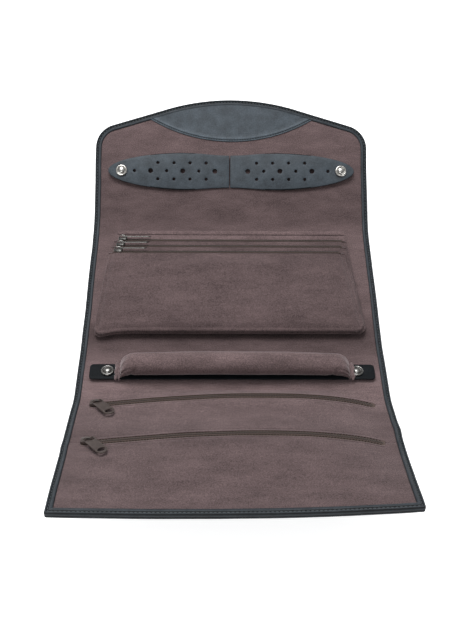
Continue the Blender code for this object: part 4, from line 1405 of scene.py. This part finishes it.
def pocket_front():
    """The pockets' suede front in one sheet, with a hemmed slot for each zip."""
    half = HALF_WIDTH - LINING_INSET
    middle = SLOT_END - 3 * MM
    outside = [SLOT_END - past * MM for past in SLOT_STEPS] + [half - past * MM for past in RIM_STEPS]
    xs = [-x for x in reversed(outside)] + [lerp(-middle, middle, i / 60) for i in range(61)] + outside
    tops, lows = [], []
    for x in xs:
        edge = ramp(half - abs(x), 0.0, 2.2 * MM)
        row = []
        for u, rise in pocket_rows(x):
            hidden = ramp(u, U_POCKET + 7 * MM, FRONT_TOP)
            sewn = 1 - ramp(u, FRONT_LOW, FRONT_LOW + 3 * MM)
            soft = FRONT_SOFT * noise.noise((x * 24, u * 38, 9.0)) * edge * (1 - sewn) * (1 - hidden)
            height = FRONT_BASE + edge * rise + bulge(x, u) + soft
            row.append((x, u, height - FRONT_TUCK * hidden - FRONT_SEWN * max(1 - edge, sewn)))
        tops.append(row)
        lows.append([(x, u, height - FRONT_THICKNESS) for x, u, height in row])
    piece = build("pocket_front", Shape().slab(tops, lows), lining_suede, sharp=60.0, weld=1e-7)
    dress(piece, "suede", "pocket_fold", "upper_pocket_cloth", "lower_pocket_cloth")


pocket_zip("upper", UPPER_ZIP)
pocket_zip("lower", LOWER_ZIP)
pocket_front()


# Zip bags

PAGE_HINGE = U_UPPER - 8.5 * MM
PAGE_STRIP = 6.8 * MM
PAGE_GAP = 0.3 * MM
PAGE_LOW = -0.6 * MM
PAGE_THICKNESS = 0.8 * MM
PAGE_SEAM = 4.6 * MM
PAGE_HALF = HALF_WIDTH - 22.6 * MM
BAG_STEP = 10.5 * MM
BAG_THICKNESS = 4.4 * MM
BAG_RIM = 4.0 * MM
BAG_CORNER = 6.8 * MM
BAG_END = 17 * MM
BAG_CROWN = 1.3 * MM
# Each bag's left and right side at its rim and at its lower end, its lower end, and that end's level.
BAG_SIDES = {
    "back": ((-104.4, -115.6), (103.0, 113.2), -50.0, 1.6),
    "middle": ((-105.8, -115.2), (101.0, 111.8), -53.2, 4.7),
    "front": ((-106.9, -114.2), (98.4, 110.2), -53.0, 7.4),
}
DROOP_START = -33 * MM
CORNER_SAG = 3.0 * MM
CORNER_FALL = 1.8 * MM
FLANGE = 1.3 * MM
SEAM_DEPTH = 2.4 * MM
SEAM_DENT = 0.35 * MM
RIM_STATIONS = (0.0, 0.35, 1.2, 2.4, 3.5, 4.0, 4.6, 5.4, 6.6, 8.0)
SIDE_SHARES = (0.0, 0.003, 0.007, 0.012, 0.017, 0.022, 0.027, 0.034, 0.042, 0.055, 0.075, 0.1)


class Bag:
    """One zip bag: a flat pouch with a slanted rim and a pinched, sewn edge. Its lower end sags."""

    def __init__(self, index, word):
        self.word = word
        self.low = PAGE_LOW + index * (BAG_THICKNESS + 0.3 * MM)
        self.high = self.low + BAG_THICKNESS
        self.top = PAGE_HINGE - PAGE_STRIP - PAGE_GAP - index * BAG_STEP
        self.rim = self.top - BAG_RIM
        left, right, bottom, edge_level = BAG_SIDES[word]
        self.left, self.right = in_mm([left, right])
        self.bottom, self.edge_level = bottom * MM, edge_level * MM

    def span(self, u):
        """Its middle and half width at u, without its rounded corners."""
        share = (self.top - u) / (self.top - self.bottom)
        left, right = lerp(*self.left, share), lerp(*self.right, share)
        return (left + right) / 2, (right - left) / 2

    def stations(self):
        """Places along u from the rim to the lower end, closer together at both."""
        us = [self.top - past * MM for past in RIM_STATIONS]
        start, end = us[-1], self.bottom + BAG_END
        us += [lerp(start, end, (i + 1) / 18) for i in range(18)]
        return us + [self.bottom + BAG_END * (1 - math.sin(QUARTER * i / 20)) for i in range(1, 21)]

    def from_edge(self, x, u, half, whole):
        """How far a point lies inside the outline with its rounded lower corners."""
        from_end = u - self.bottom
        inner = whole - BAG_CORNER
        if from_end < BAG_CORNER and abs(x) > inner:
            return max(0.0, BAG_CORNER - math.hypot(abs(x) - inner, BAG_CORNER - from_end))
        return max(0.0, min(half - abs(x), from_end))

    def level(self, u, thick):
        """The middle of its thickness, before it sags: flat, and slanted up to its zip at the rim."""
        if u > self.rim:
            share = (self.top - u) / (self.top - self.rim)
            return lerp(self.low + 0.35 * MM, self.high, share) - thick / 2
        return self.low + BAG_THICKNESS / 2

    def points(self, x, u, half):
        """The upper and lower point at x from its middle."""
        centre, whole = self.span(u)
        inside = self.from_edge(x, u, half, whole)
        edge = math.sqrt(1 - (1 - min(1.0, inside / (0.6 * MM))) ** 2)
        thick = lerp(FLANGE * edge, BAG_THICKNESS, ramp(inside, 1.3 * MM, 6.5 * MM))
        level = self.level(u, thick)
        over = max(0.0, (DROOP_START - u) / (DROOP_START - self.bottom))
        fall = (level - self.edge_level) * (1 - math.sqrt(max(0.0, 1 - over**2.2)))
        corner = math.exp(-(((x + whole) / (15 * MM)) ** 2)) * (1 - ramp(u - self.bottom, 1 * MM, 26 * MM))
        if self.word != "back":
            fall += CORNER_FALL * corner
        upper, lower = level + thick / 2 - fall, level - thick / 2 - fall
        if u < self.rim:
            upper -= SEAM_DENT * math.exp(-((inside - SEAM_DEPTH) / (0.5 * MM)) ** 2)
        if self.word == "front":
            full = ramp(inside, 3 * MM, 22 * MM) * ramp(self.rim - u, 0.5 * MM, 16 * MM)
            wide_crease = 0.5 * MM * noise.noise((x * 20, u * 30, 3.3))
            fine_crease = 0.3 * MM * noise.noise((x * 55, u * 60, 1.0))
            upper += (BAG_CROWN + wide_crease + fine_crease) * full
        sunk = u - CORNER_SAG * corner
        return (centre + x, sunk, upper), (centre + x, sunk, lower)

    def pouch(self):
        """The pouch itself. Its columns lie closer together at its sides."""
        side = [-1 + 2 * share for share in SIDE_SHARES]
        inner = [lerp(side[-1], -side[-1], i / 40) for i in range(1, 40)]
        across = side + inner + [-share for share in reversed(side)]
        tops, lows = [], []
        for u in self.stations():
            from_end = min(u - self.bottom, BAG_CORNER)
            cut = BAG_CORNER - math.sqrt(max(0.0, BAG_CORNER**2 - (BAG_CORNER - from_end) ** 2))
            half = self.span(u)[1] - cut
            pairs = [self.points(share * half, u, half) for share in across]
            tops.append([upper for upper, _ in pairs])
            lows.append([lower for _, lower in pairs])
        piece = build(f"bag_{self.word}", Shape().slab(tops, lows), bag_suede, sharp=70.0)
        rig.padded(piece, fill=0.3)
        dress(piece, "suede", "bag_stack", f"zip_bag_{self.word}")


SLANT_ACROSS = Vector((0.0, math.sqrt(0.5), -math.sqrt(0.5)))
SLANT_UP = Vector((0.0, math.sqrt(0.5), math.sqrt(0.5)))
BAG_TAPE = in_mm([(2.7, 0.3), (2.7, 0.82), (0.0, 0.9), (-2.7, 0.82), (-2.7, 0.3)])


def bag_zip(bag):
    """The tape and coil along a bag's slanted rim."""
    shift, whole = bag.span(bag.top)
    middle = Vector((shift, (bag.top + bag.rim) / 2, (bag.low + bag.high + 0.4 * MM) / 2))
    end = whole - 3 * MM

    def frame_at(x):
        return middle + ALONG_X * x, SLANT_ACROSS, SLANT_UP

    zip_tape(f"bag_{bag.word}_tape", frame_at, end, 40, BAG_TAPE, "bag_stack", f"{bag.word}_bag_zip")
    teeth = bead_rows(frame_at, end - 1 * MM, *BAG_TEETH)
    dress(build(f"bag_{bag.word}_teeth", teeth, coil, sharp=60.0), "zip_coil", "bag_stack")


def page_cloth(name, node, body, u0, u1):
    """A narrow strip of suede with soft edges."""
    soft = 0.3 * MM
    middle, top = PAGE_LOW + PAGE_THICKNESS / 2, PAGE_LOW + PAGE_THICKNESS
    crest = PAGE_LOW + PAGE_THICKNESS * 1.15
    section = [
        (u0, middle), (u0 + soft, top), ((u0 + u1) / 2, crest), (u1 - soft, top),
        (u1, middle), (u1 - soft, PAGE_LOW), (u0 + soft, PAGE_LOW),
    ]
    rings = [[(lerp(-PAGE_HALF, PAGE_HALF, i / 30), u, h) for u, h in section] for i in range(31)]
    dress(build(name, Shape().tube(rings), suede), "suede", body, node)


BAGS = [Bag(index, word) for index, word in enumerate(BAG_SIDES)]
for bag in BAGS:
    bag.pouch()
    bag_zip(bag)
page_cloth("page_strip", "bag_page_strip", "bag_stack", PAGE_HINGE - PAGE_STRIP, PAGE_HINGE - PAGE_GAP)
page_cloth("page_seam", "bag_page_seam", "middle_panel", PAGE_HINGE + PAGE_GAP, PAGE_HINGE + PAGE_SEAM)


# Sliders and pulls

SLIDER_PLAN = ((-0.5, 0.6), (-0.44, 0.74), (-0.2, 0.86), (0.1, 0.98), (0.32, 1.0), (0.44, 0.9), (0.5, 0.66))
SLIDER_TOP = 2.7 * MM
SLIDER_LOW = 0.3 * MM
SLIDER_BEVEL = 0.45 * MM
SLIDER_CROWN = 0.35 * MM
BRIDGE_HALF = 3.35 * MM
BRIDGE_CROWN = 4.75 * MM
BRIDGE_FOOT = SLIDER_TOP - 0.6 * MM
BRIDGE_SET = 0.35 * MM
BRIDGE_THICK = 0.42 * MM
PULL_AXIS = 3.35 * MM
PULL_THICKNESS = 0.8 * MM
PULL_BEVEL = 0.24 * MM
WAIST = 0.35
EYE_START = 0.35 * MM
EYE_END = 4.05 * MM


def framed(shape, origin, ways):
    """The shape moved from its own axes into flat coordinates."""
    along, across, up = ways
    shape.points = [tuple(origin + along * a + across * b + up * c) for a, b, c in shape.points]
    return shape


def slider_shape(length, width, bridge):
    """A slider's plate with its arched bridge, about the tape's middle."""
    side = [(along * length, share * width / 2) for along, share in SLIDER_PLAN]
    outline = side + [(a, -b) for a, b in reversed(side)]

    def crown(a, b):
        return SLIDER_TOP - SLIDER_CROWN * (2 * b / width) ** 2

    shape = plate([outline], SLIDER_TOP - SLIDER_LOW, SLIDER_BEVEL, crown)
    rings = []
    for i in range(17):
        turn = math.pi * i / 16
        out = Vector((-math.cos(turn), 0.0, math.sin(turn)))
        rise = (BRIDGE_CROWN - BRIDGE_FOOT) * math.sin(turn) ** 0.7
        centre = Vector((-BRIDGE_HALF * math.cos(turn), 0.0, BRIDGE_FOOT + rise)) - out * BRIDGE_SET
        loop = circle(0.0, 0.0, 1.0, 10)
        rings.append([centre + ACROSS_U * a * bridge / 2 + out * b * BRIDGE_THICK for a, b in loop])
    return shape.tube(rings)


def pull_shape(length, narrow, wide, eye_half, hole):
    """A flat pull with an eye for the bridge and an oval hole near its rounded end."""
    end = wide / 2
    waist = (length * WAIST, (narrow + wide) / 4)
    outline = [(-EYE_START, -narrow / 2), (waist[0], -waist[1])]
    outline += arc(length - end, 0.0, end, -QUARTER, QUARTER, 18)
    outline += [waist, (-EYE_START, narrow / 2)]
    eye = [(EYE_START, -eye_half), (EYE_END, -eye_half), (EYE_END, eye_half), (EYE_START, eye_half)]
    reach, half = hole
    centre = length - end * 0.5 - reach
    oval = [(centre + reach * a, half * b) for a, b in circle(0.0, 0.0, 1.0, 24)]
    return plate([outline, eye, oval], PULL_THICKNESS, PULL_BEVEL, lambda a, b: PULL_THICKNESS / 2)


def zip_runner(word, axis_point, ways, sizes, finish, slot):
    """A zip's slider and its pull, which hangs on the bridge."""
    slider_sizes, turn, pull_sizes = sizes
    along, across, up = ways
    slider = framed(slider_shape(*slider_sizes), axis_point - up * PULL_AXIS, ways)
    cosine, sine = math.cos(turn), math.sin(turn)
    turned = (along * cosine + across * sine, across * cosine - along * sine, up)
    pull = framed(pull_shape(*pull_sizes), axis_point, turned)
    for body, end, shape in ((f"{word}_slider", "body", slider), (f"{word}_pull", "tab", pull)):
        dress(build(f"{body}_{end}", shape, finish, sharp=40.0), slot, body, body)


# The slider's length, width and bridge width, the pull's turn, and the pull's measures.
POCKET_RUNNER = (
    (10.5 * MM, 7.6 * MM, 1.9 * MM), math.radians(-50.0),
    (21.8 * MM, 8.2 * MM, 8.8 * MM, 3.3 * MM, (2.1 * MM, 3.1 * MM)),
)
BAG_RUNNER = (
    (7.8 * MM, 6.0 * MM, 1.2 * MM), 0.0,
    (25 * MM, 4.4 * MM, 4.6 * MM, 1.3 * MM, (3.2 * MM, 1.1 * MM)),
)

for word, line in (("upper_pocket", UPPER_ZIP), ("lower_pocket", LOWER_ZIP)):
    x, y, z = JOINTS[f"{word}_pull_flip"]["pos_m"]
    height = (Vector((y, z)) - straight(line)[0]).dot(Vector((-POCKET_WAY.y, POCKET_WAY.x)))
    spot = Vector((x, line, height))
    zip_runner(word, spot, (ALONG_X, ACROSS_U, UP_H), POCKET_RUNNER, paint, "painted_zip")
for bag in BAGS:
    x, y, z = JOINTS[f"{bag.word}_bag_pull_flip"]["pos_m"]
    spot = Vector((x, y, z + UNDERSIDE))
    ways = (ALONG_X, SLANT_ACROSS, SLANT_UP)
    zip_runner(f"{bag.word}_bag", spot, ways, BAG_RUNNER, worn_nickel, "nickel")


# CAD parts that stay: the boards, magnets and snap studs

CARRIED = {
    "board": plain_material("grey_board", GREY, 0.9, carried=True),
    "magnet": plain_material("magnet", MAGNET_GREY, 0.5, carried=True),
    "nickel": metal_material("nickel_carried", NICKEL, 0.16, carried=True),
}
for part in frame["record"]["subparts"]:
    carried_object = frame["nodes"][part["node"]]
    if part["material_slot"] in CARRIED and not carried_object.hide_render:
        carried_object.data.materials.clear()
        carried_object.data.materials.append(CARRIED[part["material_slot"]])


# Floor, light and camera

FLOOR_HALF = 4.0
FLOOR_WHITE = (0.93, 0.93, 0.93, 1.0)
FLOOR_GLOW = 0.68


def add_floor():
    """A plain pale table top."""
    mesh = bpy.data.meshes.new("floor")
    corners = [(x * FLOOR_HALF, y * FLOOR_HALF, 0.0) for x, y in ((-1, -1), (1, -1), (1, 1), (-1, 1))]
    mesh.from_pydata(corners, [], [(0, 1, 2, 3)])
    floor = bpy.data.objects.new("floor", mesh)
    bpy.context.collection.objects.link(floor)
    n = Nodes(bpy.data.materials.new("floor"))
    n.set(base_color=FLOOR_WHITE, roughness=0.9)
    n.set(emission_color=(1.0, 1.0, 1.0, 1.0), emission_strength=FLOOR_GLOW)
    mesh.materials.append(n.owner)
    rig.stage(floor)


def add_light(name, location, target, size, power):
    """A square soft light aimed at a target."""
    light = bpy.data.lights.new(name, "AREA")
    light.size = size
    light.energy = power
    lamp = bpy.data.objects.new(name, light)
    bpy.context.collection.objects.link(lamp)
    way = Vector(target) - Vector(location)
    lamp.rotation_euler = way.to_track_quat("-Z", "Y").to_euler()
    lamp.location = location


SKY_WAY = Vector((-0.1, 0.3, 0.94))
SKY_LEVELS = [(0.0, 0.26), (0.45, 0.14), (0.7, 0.26), (0.86, 0.55), (1.0, 0.75)]


def add_world():
    """Grey surroundings, brightest towards SKY_WAY. The cosine from it, -1 to 1, sets the level."""
    bpy.context.scene.world = bpy.data.worlds.new("world")
    n = Nodes(bpy.context.scene.world, "Background")
    way = n.add("TexCoord").outputs["Generated"]
    toward = n.add("VectorMath", {0: way}, operation="DOT_PRODUCT")
    toward.inputs[1].default_value = SKY_WAY.normalized()
    n.link(n.shade(n.share(toward.outputs["Value"], -1.0, 1.0), SKY_LEVELS), "Color")


CAMERA_ELEVATION = math.radians(54.435)
CAMERA_YAW = math.radians(1.463)
CAMERA_ROLL = math.radians(1.325)
CAMERA_DISTANCE = 0.766
CAMERA_TARGET = Vector((0.001393, -0.026631, 0.0056))
CAMERA_LENS = 52.09


def add_camera():
    """The camera looks down on the roll from its front."""
    camera = bpy.data.objects.new("camera", bpy.data.cameras.new("camera"))
    bpy.context.collection.objects.link(camera)
    matrix = Matrix.Translation(CAMERA_TARGET)
    for turn, axis in ((-CAMERA_YAW, "Z"), (QUARTER - CAMERA_ELEVATION, "X"), (CAMERA_ROLL, "Z")):
        matrix = matrix @ Matrix.Rotation(turn, 4, axis)
    camera.matrix_world = matrix @ Matrix.Translation((0.0, 0.0, CAMERA_DISTANCE))
    camera.data.lens = CAMERA_LENS
    camera.data.clip_start = 0.01
    bpy.context.scene.camera = camera


add_floor()
add_world()
add_light("key", (-0.15, 0.3, 1.1), (0.0, -0.02, 0.0), 0.6, 12.5)
add_light("front", (-0.2, -0.95, 0.85), (0.0, -0.05, 0.0), 0.6, 3.2)
add_camera()
bpy.context.scene.view_settings.view_transform = "Standard"

bpy.context.view_layer.update()
with open("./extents.json", "w") as out:
    json.dump([[list(map(float, corner)) for corner in box] for box in (BOUNDS_BEFORE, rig.bounds())], out)
